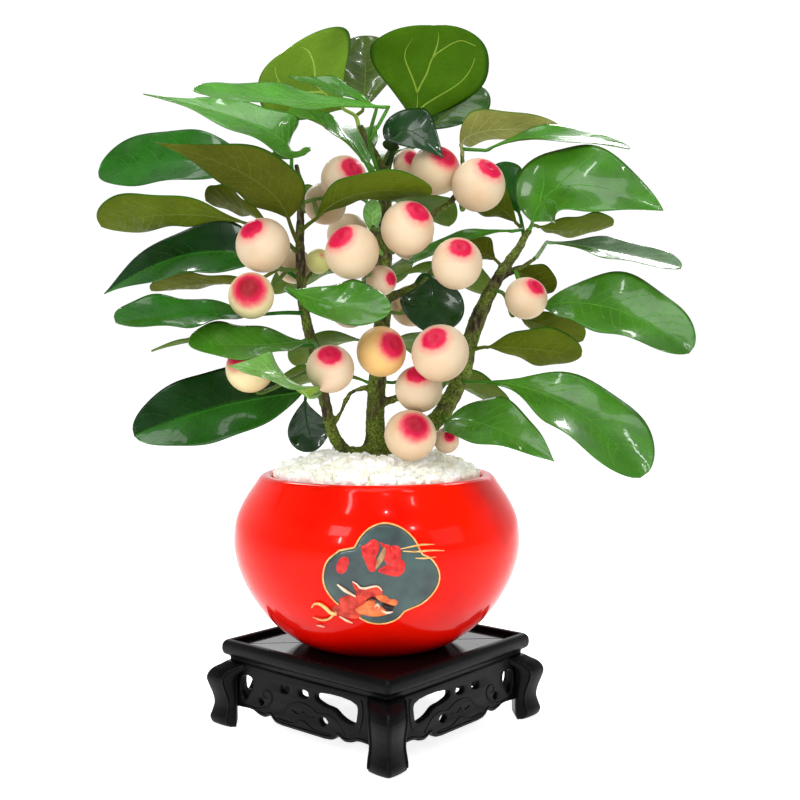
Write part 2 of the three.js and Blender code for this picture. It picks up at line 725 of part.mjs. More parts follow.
const sprays = {
  left: {
    twig: [[-51, -19, 314], [-60, -26, 315]],
    figs: [
      { centre: [-74, -52, 329], radius: 17.7, eye: [-4, -7, 6] },
      { centre: [-81, -58, 296], radius: 15.2, eye: [0, -9, 3] },
    ],
  },
  left_behind: {
    twig: [[-50, -18, 302], [-50, -8, 308]],
    figs: [
      { centre: [-58, 8, 320], radius: 12.5, eye: [-3, 9, 3] },
      { centre: [-40, -8, 322], radius: 9, eye: [3, -8, 4] },
    ],
  },
  upper_left: {
    twig: [[-51, -21, 360], [-43, -18, 363]],
    figs: [
      { centre: [-22, -22, 376], radius: 16.3, eye: [4, -8, 4] },
      { centre: [-36, 4, 363], radius: 15, eye: [2, 8, 5] },
    ],
  },
  middle: {
    twig: [[-5, -22, 308], [-9, -31, 308]],
    figs: [
      { centre: [-16, -60, 324], radius: 17.4, eye: [-5, -7, 6] },
      { centre: [3, -38, 307], radius: 10.5, eye: [7, -7, 1] },
    ],
  },
  centre: {
    twig: [[-2, -28, 342], [4, -36, 340]],
    figs: [
      { centre: [20, -54, 340], radius: 18, eye: [4, -7, 6] },
    ],
  },
  top: {
    twig: [[6, 5, 376], [13, 7, 380]],
    figs: [
      { centre: [22, 8, 391], radius: 11, eye: [2, -9, 3] },
    ],
  },
  upper_right: {
    twig: [[56, 2, 371], [57, -10, 372]],
    figs: [
      { centre: [40, -18, 383], radius: 16.5, eye: [4, -7, 5] },
      { centre: [68, -32, 371], radius: 18, eye: [4, -7, 6] },
    ],
  },
  inner: {
    twig: [[38, -8, 316], [45, -18, 320]],
    figs: [
      { centre: [52, -56, 317], radius: 17.2, eye: [1, -8, 6] },
    ],
  },
  right: {
    twig: [[80, 3, 303], [88, -5, 300]],
    figs: [
      { centre: [101, -26, 296], radius: 14.3, eye: [4, -7, 6] },
    ],
  },
  low_left: {
    twig: [[-40, -13, 246], [-47, -24, 246]],
    figs: [
      { centre: [-83, -50, 249], radius: 15.7, eye: [-2, -6, 8] },
      { centre: [-30, -62, 249], radius: 15.6, eye: [0, -8, 7] },
    ],
  },
  low_middle: {
    twig: [[0, 1, 244], [0, -12, 248]],
    figs: [
      { centre: [3, -46, 260], radius: 16.6, eye: [5, -8, 3] },
    ],
  },
  low_right: {
    twig: [[59, -1, 246], [53, -14, 245]],
    figs: [
      { centre: [41, -58, 259], radius: 18.4, eye: [-3, -8, 6] },
      { centre: [28, -36, 235], radius: 16, eye: [-1, -7, 7] },
    ],
  },
  foot: {
    twig: [[38, -4, 210], [38, -14, 204]],
    figs: [
      { centre: [22, -50, 205], radius: 16.6, eye: [2, -9, 5] },
      { centre: [47, -30, 200], radius: 9, eye: [2, -9, 4] },
    ],
  },
  back_upper: {
    twig: [[0, 43, 344], [0, 50, 348]],
    figs: [
      { centre: [-22, 64, 348], radius: 15.5, eye: [-4, 8, 5] },
      { centre: [26, 60, 344], radius: 16, eye: [5, 8, 4] },
    ],
  },
  back_middle: {
    twig: [[3, 32, 292], [3, 40, 290]],
    figs: [
      { centre: [-20, 56, 293], radius: 15.5, eye: [-3, 9, 4] },
      { centre: [26, 58, 294], radius: 16, eye: [4, 9, 3] },
    ],
  },
};

function figGeometry(fig, twig) {
  const eye = vec(fig.eye).normalize();
  const centre = vec(fig.centre);
  const onAxis = (along) => centre.clone().addScaledVector(eye, along * fig.radius);
  const points = [...twig.map(vec), onAxis(-1.3)];
  const stalk = points.map((point, order) => ({
    centre: point,
    direction: (points[order + 1] ?? centre).clone().sub(point).normalize(),
    radius: twig.length === 1 ? sideStemRadius : stemRadius,
  }));
  const body = figProfile.map(([radius, along]) => ({
    centre: onAxis(along), direction: eye, radius: radius * fig.radius,
  }));
  return roundBar([...stalk, { centre: onAxis(-1), direction: eye, radius: stemRadius }, ...body], figSides);
}

for (const [name, spray] of Object.entries(sprays)) {
  const pieces = spray.figs.map((fig, order) =>
    solid(figGeometry(fig, order === 0 ? spray.twig : [spray.twig.at(-1)])));
  addMesh(plant, `figs_${name}`, geometryOf(join(pieces).subtract(woodyRoom)), figCream);
}

export default part;
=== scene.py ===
# Fig bonsai in a red glazed pot on a carved black stand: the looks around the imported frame.
# Tables are in millimetres, as in the part, and every mesh is made in metres. -Y is the front.
import math
import random

import bmesh
import bpy
import numpy as np
from mathutils import Matrix, Vector, noise
from mathutils.geometry import delaunay_2d_cdt


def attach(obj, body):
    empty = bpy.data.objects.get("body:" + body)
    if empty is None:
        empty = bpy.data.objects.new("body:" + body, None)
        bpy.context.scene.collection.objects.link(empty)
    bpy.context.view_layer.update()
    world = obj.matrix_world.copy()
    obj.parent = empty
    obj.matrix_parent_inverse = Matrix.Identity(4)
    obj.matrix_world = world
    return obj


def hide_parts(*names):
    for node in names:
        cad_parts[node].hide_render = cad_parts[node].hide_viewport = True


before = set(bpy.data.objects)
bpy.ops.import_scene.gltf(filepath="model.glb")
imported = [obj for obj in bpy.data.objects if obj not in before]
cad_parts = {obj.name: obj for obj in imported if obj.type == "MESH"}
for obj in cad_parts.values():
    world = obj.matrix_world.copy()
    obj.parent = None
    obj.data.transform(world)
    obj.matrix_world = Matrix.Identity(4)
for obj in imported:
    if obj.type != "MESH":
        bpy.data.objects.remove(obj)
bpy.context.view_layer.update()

mm = 0.001
plantTurn = math.radians(-3.5)  # the plant is turned a little in its pot
print("frame loaded:", len(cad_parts), "nodes")

# Helpers for objects and nodes


def newObject(name, data):
    made = bpy.data.objects.new(name, data)
    bpy.context.scene.collection.objects.link(made)
    return made


# Gives a socket a value, or a link from another socket
def put(tree, socket, value):
    if isinstance(value, bpy.types.NodeSocket):
        tree.links.new(value, socket)
    elif socket.type == "RGBA":
        socket.default_value = (*value, 1)
    else:
        socket.default_value = value


# Fills inputs of a node by their names, with _ for a space
def feed(tree, node, **inputs):
    for name, value in inputs.items():
        put(tree, node.inputs[name.replace("_", " ")], value)


def newNode(tree, kind, **inputs):
    node = tree.nodes.new("ShaderNode" + kind)
    feed(tree, node, **inputs)
    return node


def mathOf(tree, operation, first, second):
    node = newNode(tree, "Math")
    node.operation = operation
    put(tree, node.inputs[0], first)
    put(tree, node.inputs[1], second)
    return node.outputs[0]


def rangeOf(tree, value, low, high, toLow, toHigh):
    node = newNode(tree, "MapRange", Value=value, From_Min=low, From_Max=high, To_Min=toLow, To_Max=toHigh)
    return node.outputs["Result"]


# One of the coordinates of the point looked at: its kind, then X, Y or Z
def placeOf(tree, kind, axis):
    place = newNode(tree, "TexCoord").outputs[kind]
    return newNode(tree, "SeparateXYZ", Vector=place).outputs[axis]


# Camera

camera = {
    "distance": 790,      # from the pot's axis
    "height": 261,
    "azimuth": -3.5,
    "turn": 1.17,         # to the right of the axis
    "pitch": 2.54,        # down
    "lens": 50.8,
    "farthest": 20,       # in metres
}


def makeCamera():
    azimuth, turn, pitch = (math.radians(camera[key]) for key in ("azimuth", "turn", "pitch"))
    ahead = Vector((-math.sin(azimuth), math.cos(azimuth), 0))
    right = Vector((math.cos(azimuth), math.sin(azimuth), 0))
    level = ahead * math.cos(turn) + right * math.sin(turn)
    look = level * math.cos(pitch) - Vector((0, 0, 1)) * math.sin(pitch)
    data = bpy.data.cameras.new("photoCamera")
    data.lens = camera["lens"]
    data.clip_end = camera["farthest"]
    eye = newObject("photoCamera", data)
    eye.location = (ahead * -camera["distance"] + Vector((0, 0, camera["height"]))) * mm
    eye.rotation_euler = look.to_track_quat("-Z", "Y").to_euler()
    bpy.context.scene.camera = eye


makeCamera()

# Lights, and the room around the object

lights = {  # place and aim in mm, size in mm, watts
    "overhead": ((-150, -200, 1500), (0, 0, 250), (900, 700), 7.5),
    "keyLeft": ((-800, -1150, 1000), (0, 0, 260), (420, 420), 6.5),
    "fillRight": ((1200, -900, 620), (0, 0, 240), (700, 700), 2.2),
    "frontLow": ((-100, -1500, 330), (0, 0, 240), (1000, 300), 1.6),
    "paneLeft": ((-517, -848, 417), (0, 0, 150), (18, 150), 1.5),
    "paneRight": ((473, -904, 880), (0, 0, 150), (38, 34), 1.6),
    "spark": ((70, -600, 930), (0, 0, 150), (18, 18), 0.5),
    "back": ((300, 1200, 900), (0, 0, 300), (1200, 900), 4),
    "stripLeft": ((-420, -560, 1300), (-100, 0, 330), (46, 420), 1.9),
    "stripRight": ((420, -480, 1300), (100, 0, 330), (40, 300), 1.6),
    "windowLeft": ((-420, 1100, 1250), (0, 0, 330), (240, 460), 7),
    "windowRight": ((620, 900, 1350), (0, 0, 330), (240, 460), 7),
}
studio = {  # brightness of the room, and where it fades from front to back and from the sides up
    "behind": 1.05, "ahead": 0.3, "above": 0.35, "fadeBack": (-0.3, 0.5), "fadeUp": (0.36, 0.6),
    "view": "Standard",
}


def makeLights():
    for name, (place, aim, size, power) in lights.items():
        data = bpy.data.lights.new(name, "AREA")
        data.shape = "RECTANGLE"
        data.size, data.size_y = (side * mm for side in size)
        data.energy = power
        lamp = newObject(name, data)
        lamp.location = Vector(place) * mm
        look = (Vector(aim) - Vector(place)).normalized()
        lamp.rotation_euler = look.to_track_quat("-Z", "Y").to_euler()
    bpy.context.scene.view_settings.view_transform = studio["view"]


def makeRoom():
    world = bpy.data.worlds.new("studio")
    world.use_nodes = True
    tree = world.node_tree
    y, z = (placeOf(tree, "Generated", axis) for axis in "YZ")
    back = rangeOf(tree, y, *studio["fadeBack"], studio["ahead"], studio["behind"])
    top = rangeOf(tree, z, *studio["fadeUp"], 1, studio["above"])
    strength = mathOf(tree, "MULTIPLY", back, top)
    feed(tree, tree.nodes["Background"], Color=(1, 1, 1), Strength=strength)
    bpy.context.scene.world = world


makeLights()
makeRoom()
print("camera and lights set")

# Materials: every one is made of nodes, with patterns sized in millimetres


def newMaterial(name, colour, roughness, **inputs):
    material = bpy.data.materials.new(name)
    material.use_nodes = True
    tree = material.node_tree
    shader = tree.nodes["Principled BSDF"]
    feed(tree, shader, Base_Color=colour, Roughness=roughness, **inputs)
    return material, tree, shader


# A cloudy pattern from 0 to 1: the size of its clouds, its fineness, and how it is drawn out on each axis
def noiseOf(tree, size, detail=3, stretch=(1, 1, 1)):
    scale = [1 / (size * mm * axis) for axis in stretch]
    place = newNode(tree, "Mapping", Vector=newNode(tree, "TexCoord").outputs["Object"], Scale=scale)
    return newNode(tree, "TexNoise", Vector=place.outputs["Vector"], Scale=1, Detail=detail).outputs["Fac"]


def rampOf(tree, factor, stops):
    ramp = newNode(tree, "ValToRGB", Fac=factor)
    elements = ramp.color_ramp.elements
    while len(elements) < len(stops):
        elements.new(0.5)
    for element, (position, colour) in zip(elements, stops):
        element.position = position
        element.color = (*colour, 1)
    return ramp.outputs["Color"]


def mixOf(tree, factor, first, second, blend="MIX"):
    mix = newNode(tree, "Mix")
    mix.data_type = "RGBA"
    mix.blend_type = blend
    for number, value in ((0, factor), (6, first), (7, second)):
        put(tree, mix.inputs[number], value)
    return mix.outputs[2]


def attributeOf(tree, name, output):
    node = newNode(tree, "Attribute")
    node.attribute_name = name
    return node.outputs[output]


# Roughens the surface: depth is in mm
def bumpWith(tree, shader, height, strength, depth):
    bump = newNode(tree, "Bump", Height=height, Strength=strength, Distance=depth * mm)
    feed(tree, shader, Normal=bump.outputs["Normal"])


def lacquerMaterial(name, roughness, colour, shine):
    material, tree, shader = newMaterial(
        name, colour, roughness, Coat_Weight=0.5 * shine, Coat_Roughness=0.1, Specular_IOR_Level=shine)
    wear = noiseOf(tree, 26, 5)
    dusty = rangeOf(tree, wear, 0.5, 0.8, 0, 0.6)
    dust = tuple(1.6 * part + 0.002 for part in colour)
    dull = rangeOf(tree, wear, 0.35, 0.75, roughness * 0.8, roughness * 1.5)
    feed(tree, shader, Base_Color=mixOf(tree, dusty, colour, dust), Roughness=dull)
    bumpWith(tree, shader, noiseOf(tree, 1.6, 4, (1, 1, 5)), 0.12, 0.3)
    return material


def glazeMaterial():
    deep, bright, palest = (0.58, 0.003, 0.001), (0.82, 0.008, 0.001), (0.86, 0.014, 0.002)
    paintedShade = (0.3, 0.0, 0.0)
    foot, shoulder = 56 * mm, 118 * mm  # painted shade: the underside is coloured darker, fading out between these heights
    material, tree, shader = newMaterial(
        "redGlaze", bright, 0.16, Coat_Weight=0.28, Coat_Roughness=0.03, Coat_IOR=1.32, Specular_IOR_Level=0.04)
    tone = rampOf(tree, noiseOf(tree, 60, 4), [(0.3, deep), (0.48, bright), (1, palest)])
    # painted shade under the belly: the red darkens towards the foot
    low = rangeOf(tree, placeOf(tree, "Object", "Z"), foot, shoulder, 1, 0)
    feed(tree, shader, Base_Color=mixOf(tree, low, tone, paintedShade))
    bumpWith(tree, shader, noiseOf(tree, 14, 2), 0.05, 1)
    return material


def enamelMaterial(name, colour, shade, roughness=0.25, metal=0.0, size=5):
    material, tree, shader = newMaterial(
        name, colour, roughness, Metallic=metal, Coat_Weight=0.3, Coat_Roughness=0.06, Coat_IOR=1.35,
        Specular_IOR_Level=0.15)
    feed(tree, shader, Base_Color=rampOf(tree, noiseOf(tree, size, 4), [(0.32, shade), (0.62, colour)]))
    bumpWith(tree, shader, noiseOf(tree, 2.2, 3), 0.1, 0.4)
    return material


def barkMaterial():
    crack, wood, ridge = (0.008, 0.007, 0.004), (0.04, 0.03, 0.016), (0.16, 0.13, 0.07)
    mossDark, moss, mossPale = (0.02, 0.035, 0.005), (0.12, 0.17, 0.022), (0.32, 0.38, 0.08)
    material, tree, shader = newMaterial("mossyBark", (0.08, 0.07, 0.03), 0.85, Specular_IOR_Level=0.15)
    bare = rampOf(tree, noiseOf(tree, 2.4, 6, (1, 1, 3)), [(0.28, crack), (0.5, wood), (0.72, ridge)])
    green = rampOf(tree, noiseOf(tree, 1.3, 5), [(0.3, mossDark), (0.55, moss), (0.78, mossPale)])
    feed(tree, shader, Base_Color=mixOf(tree, attributeOf(tree, "moss", "Fac"), bare, green))
    bumpWith(tree, shader, noiseOf(tree, 1.1, 6, (1, 1, 2.2)), 0.5, 0.8)
    return material


def soilMaterial():
    wet, dry = (0.012, 0.008, 0.005), (0.07, 0.045, 0.028)
    material, tree, shader = newMaterial("pottingSoil", (0.03, 0.018, 0.01), 0.95)
    feed(tree, shader, Base_Color=rampOf(tree, noiseOf(tree, 3, 6), [(0.3, wet), (0.7, dry)]))
    bumpWith(tree, shader, noiseOf(tree, 4, 5), 0.8, 2)
    return material


def stoneMaterial():
    # The chips glow faintly in their own colour: painted light that brightens them where leaves shade them.
    material, tree, shader = newMaterial(
        "whiteStone", (0.8, 0.79, 0.74), 0.7, Subsurface_Weight=0.15, Subsurface_Radius=(0.003, 0.003, 0.0025),
        Emission_Strength=0.14)
    speck = rangeOf(tree, noiseOf(tree, 2.2, 5), 0.35, 0.7, 0.88, 1.05)
    stoneColourAndGlow = mixOf(tree, 1.0, attributeOf(tree, "tint", "Color"), speck, "MULTIPLY")
    # the stone colour is also given off as a faint glow: painted light
    feed(tree, shader, Base_Color=stoneColourAndGlow, Emission_Color=stoneColourAndGlow)
    bumpWith(tree, shader, noiseOf(tree, 1.2, 4), 0.35, 0.5)
    return material


def leafMaterial(name, roughness, coat, mottle):
    material, tree, shader = newMaterial(
        name, (0.02, 0.12, 0.01), roughness, Coat_Weight=coat, Coat_Roughness=0.07, Coat_IOR=1.38,
        Specular_IOR_Level=0.3 * coat + 0.05)
    patch = rangeOf(tree, noiseOf(tree, 24, 3), 0.3, 0.75, 1 - mottle, 1 + 0.7 * mottle)
    fine = rangeOf(tree, noiseOf(tree, 1.7, 3), 0.3, 0.7, 0.9, 1.1)
    shade = mathOf(tree, "MULTIPLY", patch, fine)
    colour = mixOf(tree, 1.0, attributeOf(tree, "tint", "Color"), shade, "MULTIPLY")
    dull = rangeOf(tree, noiseOf(tree, 9, 4), 0.3, 0.7, roughness * 0.75, roughness * 1.35)
    feed(tree, shader, Base_Color=colour, Roughness=dull)
    bumpWith(tree, shader, noiseOf(tree, 1.1, 3), 0.14, 0.25)
    return material


# The skin of a fig is brown in patches, with painted shade that darkens it from its sides back to its stalk,
# and a red eye in a pink ring
def figMaterial():
    patch, paintedSideShade, ring, eye, heart = (
        (0.5, 0.27, 0.11), (0.34, 0.22, 0.09), (0.72, 0.1, 0.13), (0.55, 0.0, 0.045), (0.26, 0.0, 0.006))
    material, tree, shader = newMaterial(
        "figSkin", (0.72, 0.57, 0.36), 0.5, Subsurface_Weight=0.05, Subsurface_Radius=(0.006, 0.003, 0.0015),
        Coat_Weight=0.06, Specular_IOR_Level=0.25)
    mark = newNode(tree, "SeparateColor", Color=attributeOf(tree, "figMark", "Color"))
    spot, soft = mark.outputs["Red"], mark.outputs["Green"]
    polar = attributeOf(tree, "polar", "Fac")
    wobble = rangeOf(tree, noiseOf(tree, 4, 3), 0.3, 0.7, -0.012, 0.012)
    angle = mathOf(tree, "ADD", polar, wobble)
    near = mathOf(tree, "SUBTRACT", spot, angle)
    core = mathOf(tree, "DIVIDE", near, mathOf(tree, "ADD", soft, 0.008))
    core = rangeOf(tree, core, -0.5, 0.5, 0, 1)
    halo = rangeOf(tree, mathOf(tree, "SUBTRACT", angle, spot), -0.02, 0.1, 0.75, 0)
    brown = rangeOf(tree, noiseOf(tree, 22, 3), 0.5, 0.75, 0, 0.35)
    skin = mixOf(tree, brown, attributeOf(tree, "tint", "Color"), patch)
    # painted shade: the skin darkens from the fig's sides back towards its stalk
    skin = mixOf(tree, rangeOf(tree, polar, 0.38, 0.9, 0, 0.8), skin, paintedSideShade)
    skin = mixOf(tree, halo, skin, ring)
    skin = mixOf(tree, core, skin, eye)
    deep = mathOf(tree, "SUBTRACT", mathOf(tree, "MULTIPLY", spot, 0.6), angle)
    deep = mathOf(tree, "MULTIPLY", rangeOf(tree, deep, -0.03, 0.04, 0, 8), soft)
    feed(tree, shader, Base_Color=mixOf(tree, deep, skin, heart))
    bumpWith(tree, shader, noiseOf(tree, 1.0, 4), 0.08, 0.3)
    return material


blackLacquer = lacquerMaterial("blackLacquer", 0.32, (0.003, 0.003, 0.0034), 0.06)
panelLacquer = lacquerMaterial("panelLacquer", 0.07, (0.004, 0.004, 0.0045), 0.5)
redGlaze = glazeMaterial()
enamels = {  # colour and shade, then roughness, metal and the size of the clouds where they differ
    "slateEnamel": ((0.06, 0.1, 0.095), (0.04, 0.05, 0.055), 0.25, 0, 22),
    "goldLine": ((0.85, 0.52, 0.2), (0.6, 0.3, 0.09), 0.3, 0.35),
    "goldShade": ((0.42, 0.26, 0.12), (0.25, 0.13, 0.06), 0.35),
    "peonyRed": ((0.68, 0.035, 0.03), (0.42, 0.008, 0.01)),
    "dragonRed": ((0.62, 0.05, 0.025), (0.3, 0.012, 0.008)),
    "dragonOrange": ((0.82, 0.2, 0.06), (0.5, 0.07, 0.02)),
    "boneWhite": ((0.85, 0.66, 0.5), (0.7, 0.4, 0.25)),
    "inkDark": ((0.03, 0.012, 0.012), (0.015, 0.008, 0.008)),
}
enamelPaints = [enamelMaterial(name, *look) for name, look in enamels.items()]
mossyBark = barkMaterial()
pottingSoil = soilMaterial()
whiteStone = stoneMaterial()
leafTop = leafMaterial("leafTop", 0.3, 0.6, 0.3)
leafUnder = leafMaterial("leafUnder", 0.6, 0.0, 0.2)
leafVein = leafMaterial("leafVein", 0.45, 0.1, 0.1)
greenStem = leafMaterial("greenStem", 0.5, 0.1, 0.3)
figSkin = figMaterial()
print("materials made:", len(bpy.data.materials))

# Mesh helpers: a build gathers points in mm, faces, a material and a tint for each, then makes one piece

plain = (0, 0, 0)


def newBuild():
    return {"points": [], "faces": [], "slots": [], "tints": [], "marks": [], "polar": []}


def addPoints(build, points, tint=plain):
    first = len(build["points"])
    build["points"].extend(tuple(point) for point in points)
    build["tints"].extend([tint] * len(points))
    build["marks"].extend([plain] * len(points))
    build["polar"].extend([0.0] * len(points))
    return first


def addMesh(build, points, faces, tint=plain):
    first = addPoints(build, points, tint)
    build["faces"].extend(tuple(first + corner for corner in face) for face in faces)
    build["slots"].extend([0] * len(faces))


# Skins rings of equally many points. slots is a material number, or one for each side.
def addLoft(build, rings, slots, tint=plain, looped=False):
    sides, levels = len(rings[0]), len(rings)
    slots = [slots] * sides if isinstance(slots, int) else slots
    first = addPoints(build, [point for ring in rings for point in ring], tint)
    for level in range(levels if looped else levels - 1):
        here = first + level * sides
        above = first + (level + 1) % levels * sides
        for side in range(sides):
            beside = (side + 1) % sides
            build["faces"].append((here + side, here + beside, above + beside, above + side))
        build["slots"].extend(slots)
    if not looped:
        for level, order in ((0, -1), (levels - 1, 1)):
            ring = [first + level * sides + side for side in range(sides)]
            build["faces"].append(tuple(ring[::order]))
            build["slots"].append(slots[0])
    return first


def roundRing(radius, height, sides):
    turns = [2 * math.pi * side / sides for side in range(sides)]
    return [(radius * math.cos(turn), radius * math.sin(turn), height) for turn in turns]


def unit(vector):
    return vector / max(1e-9, np.linalg.norm(vector))


# A round tube along a path: radii is one radius, or one for each point
def addTube(build, path, radii, sides, slot, tint=plain):
    path = [np.array(point, float) for point in path]
    turns = [2 * math.pi * side / sides for side in range(sides)]
    across = np.cross((0, 0, 1), unit(path[1] - path[0]))
    across = np.array((1.0, 0, 0)) if np.linalg.norm(across) < 0.1 else across
    rings = []
    for order, (centre, radius) in enumerate(zip(path, np.broadcast_to(radii, len(path)))):
        ahead = unit(path[min(len(path) - 1, order + 1)] - path[max(0, order - 1)])
        across = unit(across - np.dot(across, ahead) * ahead)
        up = np.cross(ahead, across)
        rings.append([centre + radius * (math.cos(turn) * across + math.sin(turn) * up) for turn in turns])
    addLoft(build, rings, slot, tint)


# A centripetal Catmull-Rom line through points, with any number of values each
def smoothPath(points, steps):
    points = [np.array(point, float) for point in points]
    ends = [2 * points[0] - points[1]] + points + [2 * points[-1] - points[-2]]
    path = []
    for order in range(len(points) - 1):
        p0, p1, p2, p3 = ends[order:order + 4]
        knots = [0.0]
        for one, other in ((p0, p1), (p1, p2), (p2, p3)):
            knots.append(knots[-1] + max(1e-6, np.linalg.norm((other - one)[:3])) ** 0.5)
        t0, t1, t2, t3 = knots
        for t in np.linspace(t1, t2, steps, endpoint=False):
            a1 = p0 * (t1 - t) / (t1 - t0) + p1 * (t - t0) / (t1 - t0)
            a2 = p1 * (t2 - t) / (t2 - t1) + p2 * (t - t1) / (t2 - t1)
            a3 = p2 * (t3 - t) / (t3 - t2) + p3 * (t - t2) / (t3 - t2)
            b1 = a1 * (t2 - t) / (t2 - t0) + a2 * (t - t0) / (t2 - t0)
            b2 = a2 * (t3 - t) / (t3 - t1) + a3 * (t - t1) / (t3 - t1)
            path.append(b1 * (t2 - t) / (t2 - t1) + b2 * (t - t1) / (t2 - t1))
    path.append(points[-1])
    return path


def makePiece(name, build, materials, replaced, turned=True, smooth=True):
    points = np.array(build["points"], float) * mm
    if turned:
        cosine, sine = math.cos(plantTurn), math.sin(plantTurn)
        x, y = points[:, 0].copy(), points[:, 1].copy()
        points[:, 0], points[:, 1] = cosine * x - sine * y, sine * x + cosine * y
    mesh = bpy.data.meshes.new(name)
    mesh.from_pydata(points.tolist(), [], build["faces"])
    for material in materials:
        mesh.materials.append(material)
    mesh.polygons.foreach_set("material_index", build["slots"])
    mesh.polygons.foreach_set("use_smooth", [smooth] * len(build["faces"]))
    tint = mesh.attributes.new("tint", "FLOAT_COLOR", "POINT")
    tint.data.foreach_set("color", [part for colour in build["tints"] for part in (*colour, 1)])
    if any(build["polar"]):
        mark = mesh.attributes.new("figMark", "FLOAT_COLOR", "POINT")
        mark.data.foreach_set("color", [part for mark in build["marks"] for part in (*mark, 1)])
        polar = mesh.attributes.new("polar", "FLOAT", "POINT")
        polar.data.foreach_set("value", build["polar"])
    mesh.update()
    piece = newObject(name, mesh)
    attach(piece, "root")
    if replaced:
        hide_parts(*replaced)
    return piece


# Trunk: root flare, limbs and twigs as tubes [x, y, z, radius], grown together and roughened

limbs = {
    "trunk": [
        (2, 4, 146, 9), (1, 2, 172, 15), (0, 0, 188, 12.5), (-1, 0, 202, 7.5), (-1, 0, 220, 6.6),
        (1, 2, 250, 6.2), (5, 4, 300, 5.6), (6, 5, 350, 5), (5, 6, 388, 4.4),
    ],
    "topLeft": [(5, 6, 384, 4), (-3, 6, 400, 3.2), (-12, 8, 418, 2.4)],
    "topRight": [(5, 6, 384, 4), (12, 3, 403, 3), (19, 2, 416, 2.2)],
    "left": [
        (-8, 0, 176, 7), (-22, -5, 190, 5), (-31, -8, 204, 4.3), (-36, -11, 226, 4.2),
        (-42, -14, 255, 4), (-50, -18, 292, 3.8), (-52, -20, 335, 3.4), (-51, -21, 368, 2.6),
        (-54, -24, 386, 1.8),
    ],
    "right": [
        (8, 0, 178, 8), (26, -3, 200, 6.6), (45, -4, 216, 6.4), (54, -2, 232, 6.3), (60, -1, 246, 6.3),
        (66, 1, 270, 6), (75, 3, 292, 5.4), (86, 4, 313, 4.4), (97, 4, 329, 3.6), (107, 2, 346, 2.4),
    ],
    "back": [(2, 3, 236, 4.5), (5, 22, 272, 4), (2, 38, 318, 3.4), (-2, 44, 362, 2.6), (-3, 42, 386, 2)],
    "backLow": [(1, 2, 226, 4.2), (2, 22, 246, 3.4), (4, 40, 262, 2.6)],
    "front": [(4, 3, 268, 4), (-1, -14, 288, 3.2), (-6, -24, 312, 2.6), (-2, -28, 345, 2)],
    "inner": [(5, 4, 296, 3.6), (24, -6, 304, 2.8), (40, -8, 316, 2.2)],
    "upper": [
        (6, 5, 340, 3.6), (22, -2, 345, 2.6), (39, -4, 355, 2.4), (54, 0, 367, 2.4), (60, 6, 384, 2),
        (60, 9, 398, 1.6),
    ],
    "cross": [(-1, 0, 222, 3.2), (20, -5, 229, 2.8), (50, -3, 226, 3)],
    "brace": [(-1, 0, 236, 2.2), (-18, -6, 231, 1.7), (-26, -8, 216, 1.6), (-33, -9, 206, 1.6)],
    "sideRight": [(84, 4, 310, 2.6), (100, 3, 318, 2), (112, -1, 326, 1.6)],
}

roots = [
    [(-2, 0, 186, 7), (-20, -9, 187, 6), (-34, -16, 178, 4)],
    [(0, -2, 186, 7), (4, -20, 185, 5.5), (8, -34, 176, 4)],
    [(2, 0, 186, 7), (22, -8, 186, 5), (36, -12, 177, 3.5)],
    [(0, 2, 186, 7), (10, 18, 186, 5.5), (16, 34, 177, 4)],
    [(-1, 1, 186, 7), (-14, 16, 185, 5), (-24, 28, 176, 3.5)],
]

trunkLook = {
    "grain": 1.15,                                # size of the cells the limbs are grown together in
    "smoothing": {"factor": 0.5, "iterations": 4},
    "sides": 20,
    "steps": 7,                                   # per stretch between two stations
    "tint": (0.1, 0.1, 0.04),
    "ridges": 0.55, "ridgeSize": (2.6, 2.6, 7),   # height of the bark's ridges, and their size
    "ridgeKind": (0.9, 2.1, 3),                   # how they fade, grow finer and repeat
    "knots": 0.5, "knotSize": (9, 9, 12),
    "sink": 0.25,                                 # the rough bark starts this far in
    "moss": 0.35, "mossBase": 0.4, "fibreSize": (1.4, 1.4, 1.4),
    "mossSize": 9, "mossShift": (7, 3, 1),
    "mossTop": 330, "mossFade": 120,              # it thins out upwards
    "mossCover": (0.35, 0.45, 1.3),               # everywhere, towards the foot, in patches
}


# The points, normals and faces of a mesh after modifiers, each a type and its settings
def meshThrough(points, faces, modifiers):
    mesh = bpy.data.meshes.new("draft")
    mesh.from_pydata([tuple(point) for point in points], [], faces)
    draft = newObject("draft", mesh)
    for kind, settings in modifiers:
        modifier = draft.modifiers.new(kind, kind)
        for key, value in settings.items():
            setattr(modifier, key, value)
    done = draft.evaluated_get(bpy.context.evaluated_depsgraph_get()).to_mesh()
    measures = []
    for key in ("co", "normal"):
        values = np.zeros(len(done.vertices) * 3)
        done.vertices.foreach_get(key, values)
        measures.append(values.reshape(-1, 3))
    result = [tuple(polygon.vertices) for polygon in done.polygons]
    bpy.data.objects.remove(draft)
    return *measures, result


def cellsOf(place, sizes):
    return Vector([part / size for part, size in zip(place, sizes)])


def clamped(value):
    return max(0.0, min(1.0, value))


